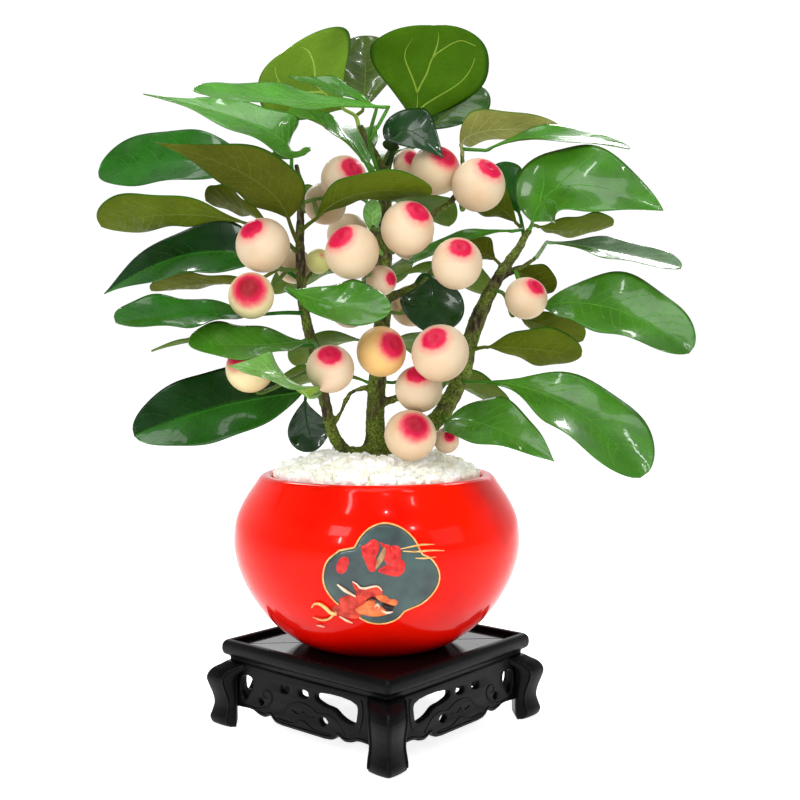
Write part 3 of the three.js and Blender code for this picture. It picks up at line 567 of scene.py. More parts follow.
def makeTrunk():
    look = trunkLook
    build = newBuild()
    for stations in [*limbs.values(), *roots]:
        path = smoothPath(stations, look["steps"])
        addTube(build, [place[:3] for place in path], [place[3] for place in path], look["sides"], 0)
    places, normals, faces = meshThrough(build["points"], build["faces"], [
        ("REMESH", {"mode": "VOXEL", "voxel_size": look["grain"]}),
        ("SMOOTH", look["smoothing"]),
    ])
    everywhere, lower, patchy = look["mossCover"]
    points, moss = [], []
    for place, normal in zip(places, normals):
        ridge = noise.fractal(cellsOf(place, look["ridgeSize"]), *look["ridgeKind"])
        knot = noise.noise(cellsOf(place, look["knotSize"]))
        fibre = noise.noise(cellsOf(place, look["fibreSize"]))
        patch = noise.noise(Vector(place) / look["mossSize"] + Vector(look["mossShift"]))
        low = clamped((look["mossTop"] - place[2]) / look["mossFade"])
        cover = clamped(everywhere + lower * low + patchy * patch)
        lift = look["ridges"] * ridge + look["knots"] * knot + look["moss"] * cover * (look["mossBase"] + fibre)
        points.append(place + normal * (lift - look["sink"]))
        moss.append(cover)
    grown = newBuild()
    addMesh(grown, points, faces, look["tint"])
    piece = makePiece("trunkAndLimbs", grown, [mossyBark], ["trunk"])
    covered = piece.data.attributes.new("moss", "FLOAT", "POINT")
    covered.data.foreach_set("value", moss)
    print("trunk grown:", len(faces), "faces")


makeTrunk()

# White stones: chips heaped on a mound, and the soil under them

stones = {
    "edgeRadius": 73, "edgeHeight": 173, "middleHeight": 187, "foot": 76, "swell": 1.5,
    "skirt": [(76, 162.3), (75, 165.5), (71.5, 168.4)],   # the mound's foot, radius and height
    "rings": (69, 64, 55, 45, 35, 25, 13, 1), "under": 2.6, "sides": 48,
    "chips": 720, "smallest": 2.6, "largest": 5.6, "margin": 1.1, "seed": 4,
    "stray": 1, "swing": 0.05,                            # of a chip from its place, in mm and in turn
    "dents": (-0.16, 0.12), "break": 0.55,                # of its corners, and of one broken face
    "spans": ((0.8, 1.25), (0.75, 1.1), (0.6, 0.95)),     # of its length, width and thickness
    "settle": (-2.2, 0.4),
    "tints": [(0.94, 0.94, 0.9), (0.9, 0.9, 0.84), (0.95, 0.95, 0.93), (0.86, 0.85, 0.74), (0.93, 0.91, 0.82)],
}


def moundHeight(radius):
    inward = 1 - min(1, radius / stones["foot"])
    rise = min(1, stones["swell"] * math.sin(math.pi / 2 * inward))
    return stones["edgeHeight"] + (stones["middleHeight"] - stones["edgeHeight"]) * rise


def icosphere(rings):
    work = bmesh.new()
    bmesh.ops.create_icosphere(work, subdivisions=rings, radius=1)
    corners = np.array([tuple(v.co) for v in work.verts])
    faces = [tuple(v.index for v in f.verts) for f in work.faces]
    work.free()
    return corners, faces


def drawnVector(draw):
    return [draw.uniform(-1, 1) for _ in range(3)]


def turnOf(draw):
    axis = Vector(drawnVector(draw)).normalized()
    return np.array(Matrix.Rotation(draw.uniform(0, 2 * math.pi), 3, axis))


def makeStones():
    draw = random.Random(stones["seed"])
    build = newBuild()
    mound = stones["skirt"] + [(radius, moundHeight(radius) - stones["under"]) for radius in stones["rings"]]
    rings = [roundRing(radius, height, stones["sides"]) for radius, height in mound]
    addLoft(build, rings, 0, stones["tints"][3])
    corners, faces = icosphere(2)
    golden = math.pi * (3 - math.sqrt(5))
    stray, swing, edge = stones["stray"], stones["swing"], stones["edgeRadius"]
    for number in range(stones["chips"]):
        share = math.sqrt((number + 0.5) / stones["chips"])
        size = draw.uniform(stones["smallest"], stones["largest"])
        radius = min(edge * share + draw.uniform(-stray, stray), edge - stones["margin"] * size)
        angle = number * golden + draw.uniform(-swing, swing)
        shape = corners * (1 + np.array([draw.uniform(*stones["dents"]) for _ in corners]))[:, None]
        cut = unit(np.array(drawnVector(draw)))
        along = shape @ cut
        shape = shape - np.outer(np.maximum(along - stones["break"], 0), cut)
        shape = shape * [size * draw.uniform(*span) for span in stones["spans"]]
        shape = shape @ turnOf(draw).T
        height = moundHeight(radius) + draw.uniform(*stones["settle"])
        shape = shape + (radius * math.cos(angle), radius * math.sin(angle), height)
        addMesh(build, shape, faces, draw.choice(stones["tints"]))
    makePiece("whiteStones", build, [whiteStone], ["stones"], smooth=False)
    print("stones heaped:", stones["chips"])


makeStones()
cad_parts["soil"].data.materials.clear()
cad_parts["soil"].data.materials.append(pottingSoil)

# Leaves

tones = {  # upper side, lower side, veins
    "deep": ((0.014, 0.105, 0.005), (0.07, 0.12, 0.01), (0.024, 0.135, 0.01)),
    # The near-black tone below is painted shade, for leaves and halves of leaves that stand in shadow
    "shadowDark": ((0.004, 0.03, 0.004), (0.02, 0.045, 0.006), (0.008, 0.045, 0.006)),
    "mid": ((0.04, 0.165, 0.008), (0.08, 0.13, 0.012), (0.065, 0.215, 0.02)),
    "bright": ((0.06, 0.23, 0.018), (0.11, 0.18, 0.02), (0.1, 0.31, 0.04)),
    "fresh": ((0.12, 0.3, 0.05), (0.16, 0.26, 0.03), (0.2, 0.42, 0.09)),
    "grey": ((0.1, 0.19, 0.09), (0.13, 0.18, 0.07), (0.18, 0.28, 0.14)),
    "matte": ((0.03, 0.11, 0.003), (0.042, 0.11, 0.002), (0.17, 0.27, 0.025)),
    "matteLight": ((0.05, 0.15, 0.01), (0.11, 0.21, 0.015), (0.25, 0.38, 0.06)),
    "darkOlive": ((0.045, 0.085, 0.005), (0.05, 0.09, 0.005), (0.09, 0.15, 0.012)),
    "matteDark": ((0.02, 0.08, 0.004), (0.045, 0.09, 0.003), (0.08, 0.14, 0.01)),
    "olive": ((0.02, 0.11, 0.006), (0.07, 0.1, 0.004), (0.085, 0.12, 0.008)),
    "brownOlive": ((0.02, 0.1, 0.006), (0.06, 0.072, 0.004), (0.075, 0.088, 0.008)),
    "oliveDark": ((0.015, 0.09, 0.006), (0.07, 0.085, 0.003), (0.1, 0.115, 0.008)),
    "tan": ((0.05, 0.14, 0.01), (0.24, 0.25, 0.06), (0.32, 0.33, 0.12)),
}
leafLook = {
    "rows": 46, "columns": 20, "half": 0.45, "edge": 0.12, "edgePower": 6, "crowding": 0.65,
    "belly": 0.62, "taper": 1.35, "blunt": 0.5, "sharp": 0.9, "stub": 1.1,    # its outline
    "cup": 0.17, "fold": 0.08, "crease": 0.1, "flatten": 0.25,                # its section
    "wave": 0.05, "wavePower": 2.5, "waveShift": 0.35, "quilt": 0.3, "quiltSlant": 0.2,
    "petiole": 1.2, "stem": 1.6, "branch": 1.35, "midrib": 1.05, "sideVein": 0.6, "finestVein": 0.46,
    "broad": 60, "broadVeins": 4, "fewestVeins": 5, "veinEvery": 10,
    "seed": 9,
}
veinLook = {  # on a leaf, and on a broad one
    "first": 0.08, "spread": (0.78, 0.66), "climb": (0.15, 0.3), "thicker": (1, 1.35),
    "offset": {-1: 0.6, 1: 0.25}, "reach": (0.7, 0.86), "vary": (0.85, 1.2), "last": 0.93,
    "bend": 0.35, "forkBend": 0.2, "forkAt": 5, "forkReach": (0.45, 0.7), "forkClimb": (0.7, 1),
    "sides": 6, "spine": 26,
}


# half gives one half of the blade another tone; set to the near-black tone, it paints that half in shade
def leaf(base, mid, tip, width, face, tone, **outline):
    place = {"base": base, "mid": mid, "tip": tip, "width": width, "face": face, "tone": tone}
    usual = {"belly": leafLook["belly"], "taper": leafLook["taper"], "point": 0, "half": tone, "routes": None}
    return {**place, **usual, **outline}


veinRoutes = {  # pale veins of the broad leaves, across and along the blade
    "crown": [
        [(0, 0), (-0.06, 0.12), (-0.15, 0.3)], [(-0.15, 0.3), (-0.3, 0.48), (-0.42, 0.66), (-0.4, 0.86)],
        [(-0.15, 0.3), (-0.02, 0.5), (0.04, 0.68), (0.26, 0.79), (0.6, 0.85), (0.82, 0.8)],
        [(0.04, 0.68), (0.16, 0.93)],
        [(0.04, 0.12), (0.35, 0.3), (0.6, 0.5), (0.75, 0.7)],
    ],
    "topLeft": [
        [(0, 0), (0, 0.25), (-0.02, 0.55)], [(-0.02, 0.3), (-0.28, 0.5), (-0.44, 0.72), (-0.46, 0.9)],
        [(-0.02, 0.4), (0.2, 0.58), (0.34, 0.78), (0.4, 0.92)],
    ],
    "corner": [
        [(0, 0), (0.02, 0.3), (0, 0.62), (0, 0.95)], [(0.01, 0.16), (0.28, 0.26), (0.6, 0.3), (0.82, 0.32)],
        [(0.01, 0.34), (0.3, 0.46), (0.66, 0.56), (0.86, 0.6)], [(0.01, 0.2), (-0.3, 0.32), (-0.7, 0.4)],
        [(0, 0.46), (-0.3, 0.6), (-0.66, 0.7)],
    ],
}

shoots = {  # a stem, and its leaves: base, middle, tip, width, the way its face looks, tone
    "crown": ([(12, 3, 403), (21, 4, 414)], [
        leaf((25, 4, 418), (35, 0, 451), (38, -18, 480), 84, (0, 10, 2), "matte", routes=veinRoutes["crown"]),
        leaf((32, 11, 414), (56, 20, 434), (70, 26, 452), 42, (0, -10, 3), "matteDark"),
    ]),
    "top_left": ([(-12, 8, 414), (-15, 11, 425)], [
        leaf((-22, 11, 429), (-46, 13, 450), (-64, 4, 468), 82, (2, 10, 3), "matteLight",
             routes=veinRoutes["topLeft"]),
        leaf((-10, 18, 430), (-8, 28, 457), (-9, 34, 487), 46, (0, -10, 3), "darkOlive"),
    ]),
    "top_front": ([(6, 5, 374), (-5, -6, 404)], [
        leaf((0, -12, 426), (-28, -18, 437), (-60, -15, 446), 22, (0, -6, 8), "mid", belly=0.5, point=1),
        leaf((8, -24, 424), (-50, -62, 419), (-111, -96, 418), 31, (0, -7, 8), "bright"),
    ]),
    "top_glossy": ([(6, 5, 388), (10, -5, 396)], [
        # this leaf is painted in the near-black shade tone
        leaf((10, -8, 399), (20, -26, 408), (44, -36, 388), 40, (1, -9, 5), "shadowDark", belly=0.4, point=0.6),
    ]),
    "upper_left": ([(6, 5, 360), (-4, 2, 384)], [
        leaf((-8, 0, 391), (-33, -8, 413), (-60, -15, 422), 32, (3, -4, 8), "bright"),
    ]),
    "left_top": ([(-52, -21, 366), (-57, -24, 382)], [
        leaf((-57, -26, 389), (-80, -36, 409), (-158, -14, 434), 46, (-2, -6, 8), "bright",
             belly=0.28, taper=0.8, point=1),
        leaf((-67, -14, 381), (-131, 0, 392), (-197, 20, 387), 48, (0, -9, 5), "deep"),
    ]),
    "left_hood": ([(-52, -20, 330), (-56, -34, 340)], [
        leaf((-58, -44, 347), (-81, -68, 371), (-135, -94, 387), 45, (2, 8, 6), "brownOlive",
             belly=0.3, taper=0.9, point=1),
    ]),
    "left_olive": ([(-52, -20, 325), (-66, -22, 338)], [
        leaf((-84, -26, 345), (-137, -17, 353), (-194, 14, 348), 39, (0, 6, 8), "olive", belly=0.76),
        leaf((-72, -16, 346), (-96, 0, 360), (-120, 10, 366), 36, (0, 5, 9), "oliveDark"),
    ]),
    "left_dark": ([(-51, -19, 308), (-66, -14, 317)], [
        # one half of this leaf is painted in the near-black shade tone
        leaf((-79, -10, 322), (-132, 4, 327), (-195, 24, 301), 48, (-2, -8, 6), "deep",
             belly=0.35, taper=0.7, point=0.6, half="shadowDark"),
        leaf((-82, -4, 309), (-122, 14, 308), (-163, 32, 304), 30, (0, 3, 10), "oliveDark"),
    ]),
    "left_middle": ([(-49, -18, 286), (-62, -27, 286)], [
        leaf((-74, -32, 285), (-120, -64, 283), (-160, -94, 278), 40, (0, -6, 8), "deep"),
    ]),
    "centre": ([(-50, -18, 294), (-60, -36, 301)], [
        leaf((-58, -50, 301), (-26, -68, 290), (9, -70, 289), 36, (0, -8, 6), "mid"),
    ]),
    "left_low": ([(-43, -14, 258), (-41, -26, 264)], [
        leaf((-43, -36, 267), (-79, -62, 264), (-118, -80, 265), 42, (0, -6, 8), "mid"),
        leaf((-54, -22, 264), (-104, -20, 269), (-154, -15, 260), 28, (0, -1, 10), "deep"),
    ]),
    "left_light": ([(-38, -12, 234), (-41, -34, 230)], [
        leaf((-44, -52, 230), (-61, -86, 245), (-91, -98, 251), 36, (-2, -7, 7), "fresh",
             belly=0.38, taper=0.8, point=1),
    ]),
    "left_foot": ([(-36, -11, 226), (-44, -11, 231)], [
        # one half of the first leaf, and all of the second, are painted in the near-black shade tone
        leaf((-51, -14, 232), (-107, -20, 222), (-161, -40, 204), 53, (-1, -9, 4), "deep",
             belly=0.5, taper=0.7, half="shadowDark"),
        leaf((-50, 0, 228), (-49, 4, 208), (-42, 2, 191), 30, (0, -10, 2), "shadowDark"),
    ]),
    "arch": ([(-52, -20, 341), (-46, -28, 345)], [
        leaf((-41, -32, 348), (-11, -50, 363), (36, -52, 363), 36, (0, 4, 9), "olive"),
    ]),
    "young": ([(6, 5, 326), (0, -6, 332)], [
        leaf((-2, -10, 338), (-3, -12, 351), (-2, -10, 364), 13, (0, -10, 2), "fresh"),
    ]),
    "inner_dark": ([(26, -6, 305), (31, -12, 312)], [
        # this leaf is painted in the near-black shade tone
        leaf((36, -16, 312), (38, -24, 294), (31, -30, 274), 44, (0, -9, 4), "shadowDark"),
    ]),
    "upper_tan": ([(60, 9, 396.5), (60, 9, 402)], [
        leaf((59, 10, 405), (79, 13, 416), (132, 16, 416), 34, (-3, 5, 8), "tan", belly=0.35),
        leaf((76, 3, 400), (117, -4, 408), (177, 4, 402), 32, (0, -5, 9), "mid", belly=0.72),
    ]),
    "right_corner": ([(106, 2, 344), (108, 0, 348)], [
        leaf((108, -4, 350), (133, -22, 372), (189, -44, 353), 66, (-2, -8, 6), "mid",
             belly=0.36, taper=0.75, point=0.4,
             routes=veinRoutes["corner"]),
        leaf((112, 4, 348), (137, 12, 346), (170, 24, 351), 34, (0, 4, 9), "olive"),
    ]),
    "right_inner": ([(103, 3, 339), (103, 9, 346)], [
        leaf((102, 16, 356), (94, 22, 376), (85, 24, 394), 30, (0, -10, 3), "deep"),
        leaf((99, 10, 350), (83, 13, 364), (61, 14, 369), 34, (0, 6, 8), "olive"),
        leaf((96, 0, 344), (60, -8, 338), (22, -15, 320), 17, (0, -5, 9), "mid"),
    ]),
    "right_narrow": ([(111, -0.6, 325), (115, -2, 331)], [
        leaf((118, -4, 336), (159, -20, 328), (201, -45, 315), 32, (0, -5, 8), "grey", half="mid"),
    ]),
    "right_large": ([(97, 3, 317), (104, 1, 299)], [
        leaf((115, -6, 291), (158, -40, 288), (199, -74, 259), 56, (2, -9, 5), "mid", belly=0.52, taper=0.9),
        leaf((100, 8, 285), (122, 15, 277), (149, 24, 268), 34, (0, 6, 8), "olive"),
    ]),
    "right_behind": ([(86, 5, 314), (88, 13, 321)], [
        leaf((93, 16, 319), (110, 18, 313), (127, 20, 303), 26, (0, 6, 8), "oliveDark"),
        leaf((85, 17, 325), (76, 18, 331), (64, 18, 337), 24, (0, 6, 8), "oliveDark"),
    ]),
    "right_olive": ([(64, 0, 260), (70, -4, 262)], [
        leaf((75, -6, 263), (105, -15, 262), (141, -14, 257), 34, (0, 8, 7), "olive"),
    ]),
    "right_low": ([(58, -2, 240), (62, -10, 239)], [
        leaf((68, -16, 239), (122, -58, 226), (163, -98, 182), 58, (3, -8, 5), "mid", belly=0.68, taper=1.7),
    ]),
    "right_foot": ([(46, -4, 217), (46, -16, 213)], [
        leaf((47, -24, 212), (74, -58, 211), (110, -94, 192), 46, (2, -8, 5), "mid",
             belly=0.38, taper=0.85, point=0.6),
    ]),
    "back_top": ([(-3, 42, 386), (-3, 45, 394)], [
        leaf((-5, 48, 397), (-18, 78, 424), (-36, 106, 436), 46, (-2, 3, 9), "mid"),
        leaf((0, 50, 396), (10, 82, 412), (20, 116, 416), 44, (0, 3, 9), "deep"),
    ]),
    "back_upper": ([(-2, 44, 362), (-2, 54, 368)], [
        leaf((-6, 60, 370), (-28, 88, 380), (-58, 116, 370), 48, (-3, 4, 9), "mid"),
        leaf((5, 61, 370), (28, 90, 375), (58, 118, 360), 48, (3, 4, 9), "deep"),
    ]),
    "back_middle": ([(2, 38, 318), (3, 46, 314)], [
        leaf((-5, 50, 315), (-40, 78, 321), (-80, 102, 305), 46, (-3, 4, 9), "mid"),
        leaf((4, 54, 316), (6, 88, 326), (8, 124, 312), 46, (0, 4, 9), "deep"),
        leaf((11, 50, 314), (48, 74, 320), (88, 96, 304), 46, (3, 4, 9), "mid"),
    ]),
    "back_low": ([(4, 40, 262), (4, 48, 264)], [
        leaf((-2, 53, 265), (-32, 84, 267), (-64, 114, 248), 48, (-3, 4, 9), "mid"),
        leaf((9, 54, 265), (30, 86, 269), (50, 120, 250), 48, (1, 5, 9), "deep"),
    ]),
    "back_sides": ([(2, 20, 245), (3, 31, 238)], [
        leaf((-5, 36, 237), (-44, 60, 240), (-90, 84, 222), 46, (-4, 4, 9), "mid"),
        leaf((11, 36, 237), (52, 56, 238), (100, 78, 216), 46, (4, 4, 9), "deep"),
    ]),
}


# Half the width of a blade at t, from its base to its tip
def bladeHalf(shape, t):
    belly = shape["belly"]
    rising = np.sin(math.pi / 2 * np.clip(t / belly, 0, 1)) ** shape["taper"]
    ending = leafLook["blunt"] + leafLook["sharp"] * shape["point"]
    falling = np.clip(1 - ((t - belly) / (1 - belly)) ** 2, 0, 1) ** ending
    return np.maximum(shape["width"] / 2 * np.where(t < belly, rising, falling), leafLook["stub"] * (1 - t))


# Points of a blade: q runs across it from -1 to 1, t from its base to its tip, lift is off its middle
def bladePoints(shape, q, t, lift):
    look, swing = leafLook, shape["swing"]
    q, t, lift = (np.array(part, float) for part in (q, t, lift))
    base, mid, tip, face = (np.array(shape[key], float) for key in ("base", "mid", "tip", "face"))
    handle = 2 * mid - 0.5 * base - 0.5 * tip
    u = t[:, None]
    centre = (1 - u) ** 2 * base + 2 * u * (1 - u) * handle + u ** 2 * tip
    along = 2 * (1 - u) * (handle - base) + 2 * u * (tip - handle)
    along = along / np.linalg.norm(along, axis=1, keepdims=True)
    up = face - (along @ face)[:, None] * along
    up = up / np.linalg.norm(up, axis=1, keepdims=True)
    across = np.cross(up, along)
    half = bladeHalf(shape, t)
    away = np.abs(q)
    phase = swing["count"] * t + swing["start"] + look["waveShift"] * np.sign(q)
    wave = look["wave"] * shape["width"] * away ** look["wavePower"] * np.sin(2 * math.pi * phase)
    wave = wave * np.sin(math.pi * np.clip(t, 0, 1))
    fold = np.cos(2 * math.pi * (shape["veins"] * (t - look["quiltSlant"] * away)))
    quilt = look["quilt"] * away * (1 - q ** 2) * fold
    bend = look["cup"] * q ** 2 + look["fold"] * (np.sqrt(q ** 2 + look["crease"] ** 2) - look["crease"])
    rise = half * bend * (1 - look["flatten"] * t ** 2) + wave + quilt + lift
    return centre + across * (q * half)[:, None] + up * rise[:, None]


def addBlade(build, shape):
    tone, otherTone = tones[shape["tone"]], tones[shape["half"]]
    rows, columns, edge = leafLook["rows"], leafLook["columns"], leafLook["edge"]
    steps = np.linspace(0, 1, rows)
    crowding = leafLook["crowding"]
    steps = (1 - crowding) * steps + crowding * (1 - np.cos(math.pi * steps)) / 2
    topSide = np.linspace(1, -1, columns + 1)
    q = np.concatenate([topSide, topSide[-2:0:-1]])
    side = np.concatenate([np.ones(columns + 1), -np.ones(columns - 1)])
    side[[0, columns]] = 0
    thick = edge + (leafLook["half"] - edge) * (1 - np.abs(q) ** leafLook["edgePower"])
    rings = [bladePoints(shape, q, np.full(len(q), t), side * thick) for t in steps]
    first = addLoft(build, rings, [0] * columns + [1] * columns)
    # one half of the blade takes the half tone, which may be the near-black painted shade
    colours = [(otherTone if across < 0 else tone)[place > columns] for place, across in enumerate(q)]
    build["tints"][first:] = colours * rows


# A vein is a thin tube in the blade's middle that stands out a little on both sides
def addVein(build, shape, route, start, end, tint):
    q, t = zip(*route)
    points = bladePoints(shape, q, t, np.zeros(len(route)))
    addTube(build, points, np.linspace(start, end, len(route)), veinLook["sides"], 2, tint)


# A route on the blade from start to end, (q, t) each, that leaves start more steeply by bend
def curveBetween(start, end, bend, steps=10):
    s = np.linspace(0, 1, steps)
    q = start[0] + (end[0] - start[0]) * s
    t = start[1] + (end[1] - start[1]) * (s - bend * s * (1 - s))
    return list(zip(q, t))


def addVeins(build, shape, draw):
    look = veinLook
    # veins on one half take the half tone, painted shade included
    tints = {side: tones[shape[key]][2] for side, key in ((-1, "half"), (1, "tone"))}
    midrib, sideVein, fine = (leafLook[key] for key in ("midrib", "sideVein", "finestVein"))
    if shape["routes"]:
        for points in shape["routes"]:
            addVein(build, shape, smoothPath(points, 6), 0.9 * midrib, 0.8 * sideVein, tints[1])
        return
    spine = [(0, t) for t in np.linspace(0, 0.95, look["spine"])]
    addVein(build, shape, spine, midrib, fine, tints[1])
    count = shape["veins"]
    broad = 1 if shape["width"] > leafLook["broad"] else 0
    size = sideVein * look["thicker"][broad]
    for side in (-1, 1):
        for number in range(count):
            start = look["first"] + look["spread"][broad] * (number + look["offset"][side]) / count
            reach = draw.uniform(*look["reach"])
            climb = look["climb"][broad] * draw.uniform(*look["vary"])
            route = curveBetween((0, start), (side * reach, min(look["last"], start + climb)), look["bend"])
            addVein(build, shape, route, size, fine, tints[side])
            fork = route[look["forkAt"]]
            tipAcross = side * min(0.9, reach * draw.uniform(*look["forkReach"]))
            tip = (tipAcross, min(0.95, fork[1] + climb * draw.uniform(*look["forkClimb"])))
            branch = curveBetween(fork, tip, look["forkBend"], 8)
            addVein(build, shape, branch, 0.85 * size, fine, tints[side])


# A green stalk through points, that runs on under the blade's base
def addStalk(build, points, radii, shape):
    path = smoothPath(points, 6)
    path = path + list(bladePoints(shape, [0, 0], [0.03, 0.08], [-0.5, -0.4]))
    sizes = [*np.linspace(*radii, len(path) - 1), 0.5]
    addTube(build, path, sizes, 10, 3, tones[shape["tone"]][2])


def makeShoots():
    draw = random.Random(leafLook["seed"])
    for name, (stem, leaves) in shoots.items():
        build = newBuild()
        for order, shape in enumerate(leaves):
            length = np.linalg.norm(np.array(shape["tip"]) - np.array(shape["base"]))
            many = max(leafLook["fewestVeins"], round(length / leafLook["veinEvery"]))
            shape["veins"] = leafLook["broadVeins"] if shape["width"] > leafLook["broad"] else many
            shape["swing"] = {"count": draw.uniform(1.6, 2.6), "start": draw.uniform(0, 1)}
            addBlade(build, shape)
            addVeins(build, shape, draw)
            start, thick = (stem, leafLook["stem"]) if order == 0 else (stem[-1:], leafLook["branch"])
            addStalk(build, [*start, shape["base"]], (thick, leafLook["petiole"]), shape)
        makePiece("leaves_" + name, build, [leafTop, leafUnder, leafVein, greenStem], ["shoot_" + name])
    print("leafy shoots made:", len(shoots))


makeShoots()

# Figs

figLooks = {  # size and softness of the eye's spot, in shares of half a turn, and the skin's colour
    "plain": (0.155, 0.03, (0.6, 0.47, 0.32)),
    "small": (0.145, 0.03, (0.6, 0.47, 0.32)),
    "soft": (0.19, 0.09, (0.62, 0.48, 0.31)),
    "blotch": (0.25, 0.12, (0.7, 0.6, 0.33)),
    "amber": (0.19, 0.06, (0.68, 0.43, 0.15)),
    "unripe": (0.02, 0.02, (0.6, 0.62, 0.22)),
}
figShape = {  # in shares of the radius and of a turn, with the stalk in mm
    "rings": 40, "sides": 36, "opening": 0.012, "closing": 0.03, "flatter": 0.96,
    "dimple": (0.045, 0, 0.13), "lip": (0.03, 0.22, 0.1), "neck": (0.1, math.pi, 0.3),   # height, turn, width
    "lobes": 0.012, "seed": 21,
}
stalkShape = {
    "radius": 1.4, "end": 1.9, "back": 0.35, "tint": (0.09, 0.16, 0.03), "sides": 10,
    "bract": [(-2.4, 1.5), (-1.2, 2.7), (-0.2, 3.2), (1.6, 1.4)],      # along the fig's axis, and radius
    "bractTint": (0.2, 0.16, 0.05), "bractSides": 9,
}


def fig(centre, radius, eye, look):
    return {"centre": centre, "radius": radius, "eye": eye, "look": look}


sprays = {  # a twig, and its figs: centre, radius, the way the eye looks, look
    "left": ([(-51, -19, 314), (-60, -26, 315)], [
        fig((-74, -52, 329), 17.7, (-4, -7, 6), "plain"),
        fig((-81, -58, 296), 15.2, (0, -9, 3), "blotch"),
    ]),
    "left_behind": ([(-50, -18, 302), (-50, -8, 308)], [
        fig((-58, 8, 320), 12.5, (-3, 9, 3), "plain"),
        fig((-40, -8, 322), 9, (3, -8, 4), "unripe"),
    ]),
    "upper_left": ([(-51, -21, 360), (-43, -18, 363)], [
        fig((-22, -22, 376), 16.3, (4, -8, 4), "plain"),
        fig((-36, 4, 363), 15, (2, 8, 5), "plain"),
    ]),
    "middle": ([(-5, -22, 308), (-9, -31, 308)], [
        fig((-16, -60, 324), 17.4, (-5, -7, 6), "plain"),
        fig((3, -38, 307), 10.5, (7, -7, 1), "small"),
    ]),
    "centre": ([(-2, -28, 342), (4, -36, 340)], [
        fig((20, -54, 340), 18, (4, -7, 6), "plain"),
    ]),
    "top": ([(6, 5, 376), (13, 7, 380)], [
        fig((22, 8, 391), 11, (2, -9, 3), "plain"),
    ]),
    "upper_right": ([(56, 2, 371), (57, -10, 372)], [
        fig((40, -18, 383), 16.5, (4, -7, 5), "soft"),
        fig((68, -32, 371), 18, (4, -7, 6), "plain"),
    ]),
    "inner": ([(38, -8, 316), (45, -18, 320)], [
        fig((52, -56, 317), 17.2, (1, -8, 6), "plain"),
    ]),
    "right": ([(80, 3, 303), (88, -5, 300)], [
        fig((101, -26, 296), 14.3, (4, -7, 6), "plain"),
    ]),
    "low_left": ([(-40, -13, 246), (-47, -24, 246)], [
        fig((-83, -50, 249), 15.7, (-2, -6, 8), "blotch"),
        fig((-30, -62, 249), 15.6, (0, -8, 7), "plain"),
    ]),
    "low_middle": ([(0, 1, 244), (0, -12, 248)], [
        fig((3, -46, 260), 16.6, (5, -8, 3), "amber"),
    ]),
    "low_right": ([(59, -1, 246), (53, -14, 245)], [
        fig((41, -58, 259), 18.4, (-3, -8, 6), "plain"),
        fig((28, -36, 235), 16, (-1, -7, 7), "plain"),
    ]),
    "foot": ([(38, -4, 210), (38, -14, 204)], [
        fig((22, -50, 205), 16.6, (2, -9, 5), "soft"),
        fig((47, -30, 200), 9, (2, -9, 4), "plain"),
    ]),
    "back_upper": ([(0, 43, 344), (0, 50, 348)], [
        fig((-22, 64, 348), 15.5, (-4, 8, 5), "plain"),
        fig((26, 60, 344), 16, (5, 8, 4), "soft"),
    ]),
    "back_middle": ([(3, 32, 292), (3, 40, 290)], [
        fig((-20, 56, 293), 15.5, (-3, 9, 4), "plain"),
        fig((26, 58, 294), 16, (4, 9, 3), "soft"),
    ]),
}


# How much one feature of a fig stands out at a turn away from the eye
def swellAt(feature, turn):
    height, middle, width = figShape[feature]
    return height * math.exp(-((turn - middle) / width) ** 2)


def addFig(build, fruit, draw):
    eye = unit(np.array(fruit["eye"], float))
    centre = np.array(fruit["centre"], float)
    radius, sides = fruit["radius"], figShape["sides"]
    across = unit(np.cross((0, 0, 1), eye))
    up = np.cross(eye, across)
    size, soft, skin = figLooks[fruit["look"]]
    mark = (size * draw.uniform(0.9, 1.1), soft, 0)
    squash = draw.uniform(0.97, 1.03)
    lobes = draw.uniform(0, 6)
    rings, polar = [], []
    for turn in np.linspace(figShape["opening"], math.pi - figShape["closing"], figShape["rings"])[::-1]:
        flatter = figShape["flatter"] if turn < math.pi / 2 else 1
        high = math.cos(turn) * flatter - swellAt("dimple", turn) + swellAt("lip", turn) - swellAt("neck", turn)
        along = radius * high
        ring = []
        for side in range(sides):
            angle = 2 * math.pi * side / sides
            reach = radius * math.sin(turn) * squash * (1 + figShape["lobes"] * math.sin(2 * angle + lobes))
            ring.append(centre + along * eye + reach * (math.cos(angle) * across + math.sin(angle) * up))
        rings.append(ring)
        polar.extend([turn / math.pi] * sides)
    first = addLoft(build, rings, 0, skin)
    build["marks"][first:] = [mark] * len(polar)
    build["polar"][first:] = polar


def addFigStalk(build, fruit, twig):
    eye = unit(np.array(fruit["eye"], float))
    back = np.array(fruit["centre"], float) - eye * fruit["radius"]
    path = smoothPath([*twig, back - eye * stalkShape["back"] * fruit["radius"], back], 6)
    sizes = [stalkShape["radius"]] * (len(path) - 1) + [stalkShape["end"]]
    addTube(build, path, sizes, stalkShape["sides"], 1, stalkShape["tint"])
    bract = [back + eye * along for along, _ in stalkShape["bract"]]
    sizes = [radius for _, radius in stalkShape["bract"]]
    addTube(build, bract, sizes, stalkShape["bractSides"], 1, stalkShape["bractTint"])


def makeFigs():
    draw = random.Random(figShape["seed"])
    for name, (twig, figs) in sprays.items():
        build = newBuild()
        for order, fruit in enumerate(figs):
            addFig(build, fruit, draw)
            addFigStalk(build, fruit, twig if order == 0 else twig[-1:])
        makePiece("spray_" + name, build, [figSkin, greenStem], ["figs_" + name])
    print("fig sprays made:", len(sprays))


makeFigs()

# Pot: turned from one profile, radius and height, with a medallion in relief on its front

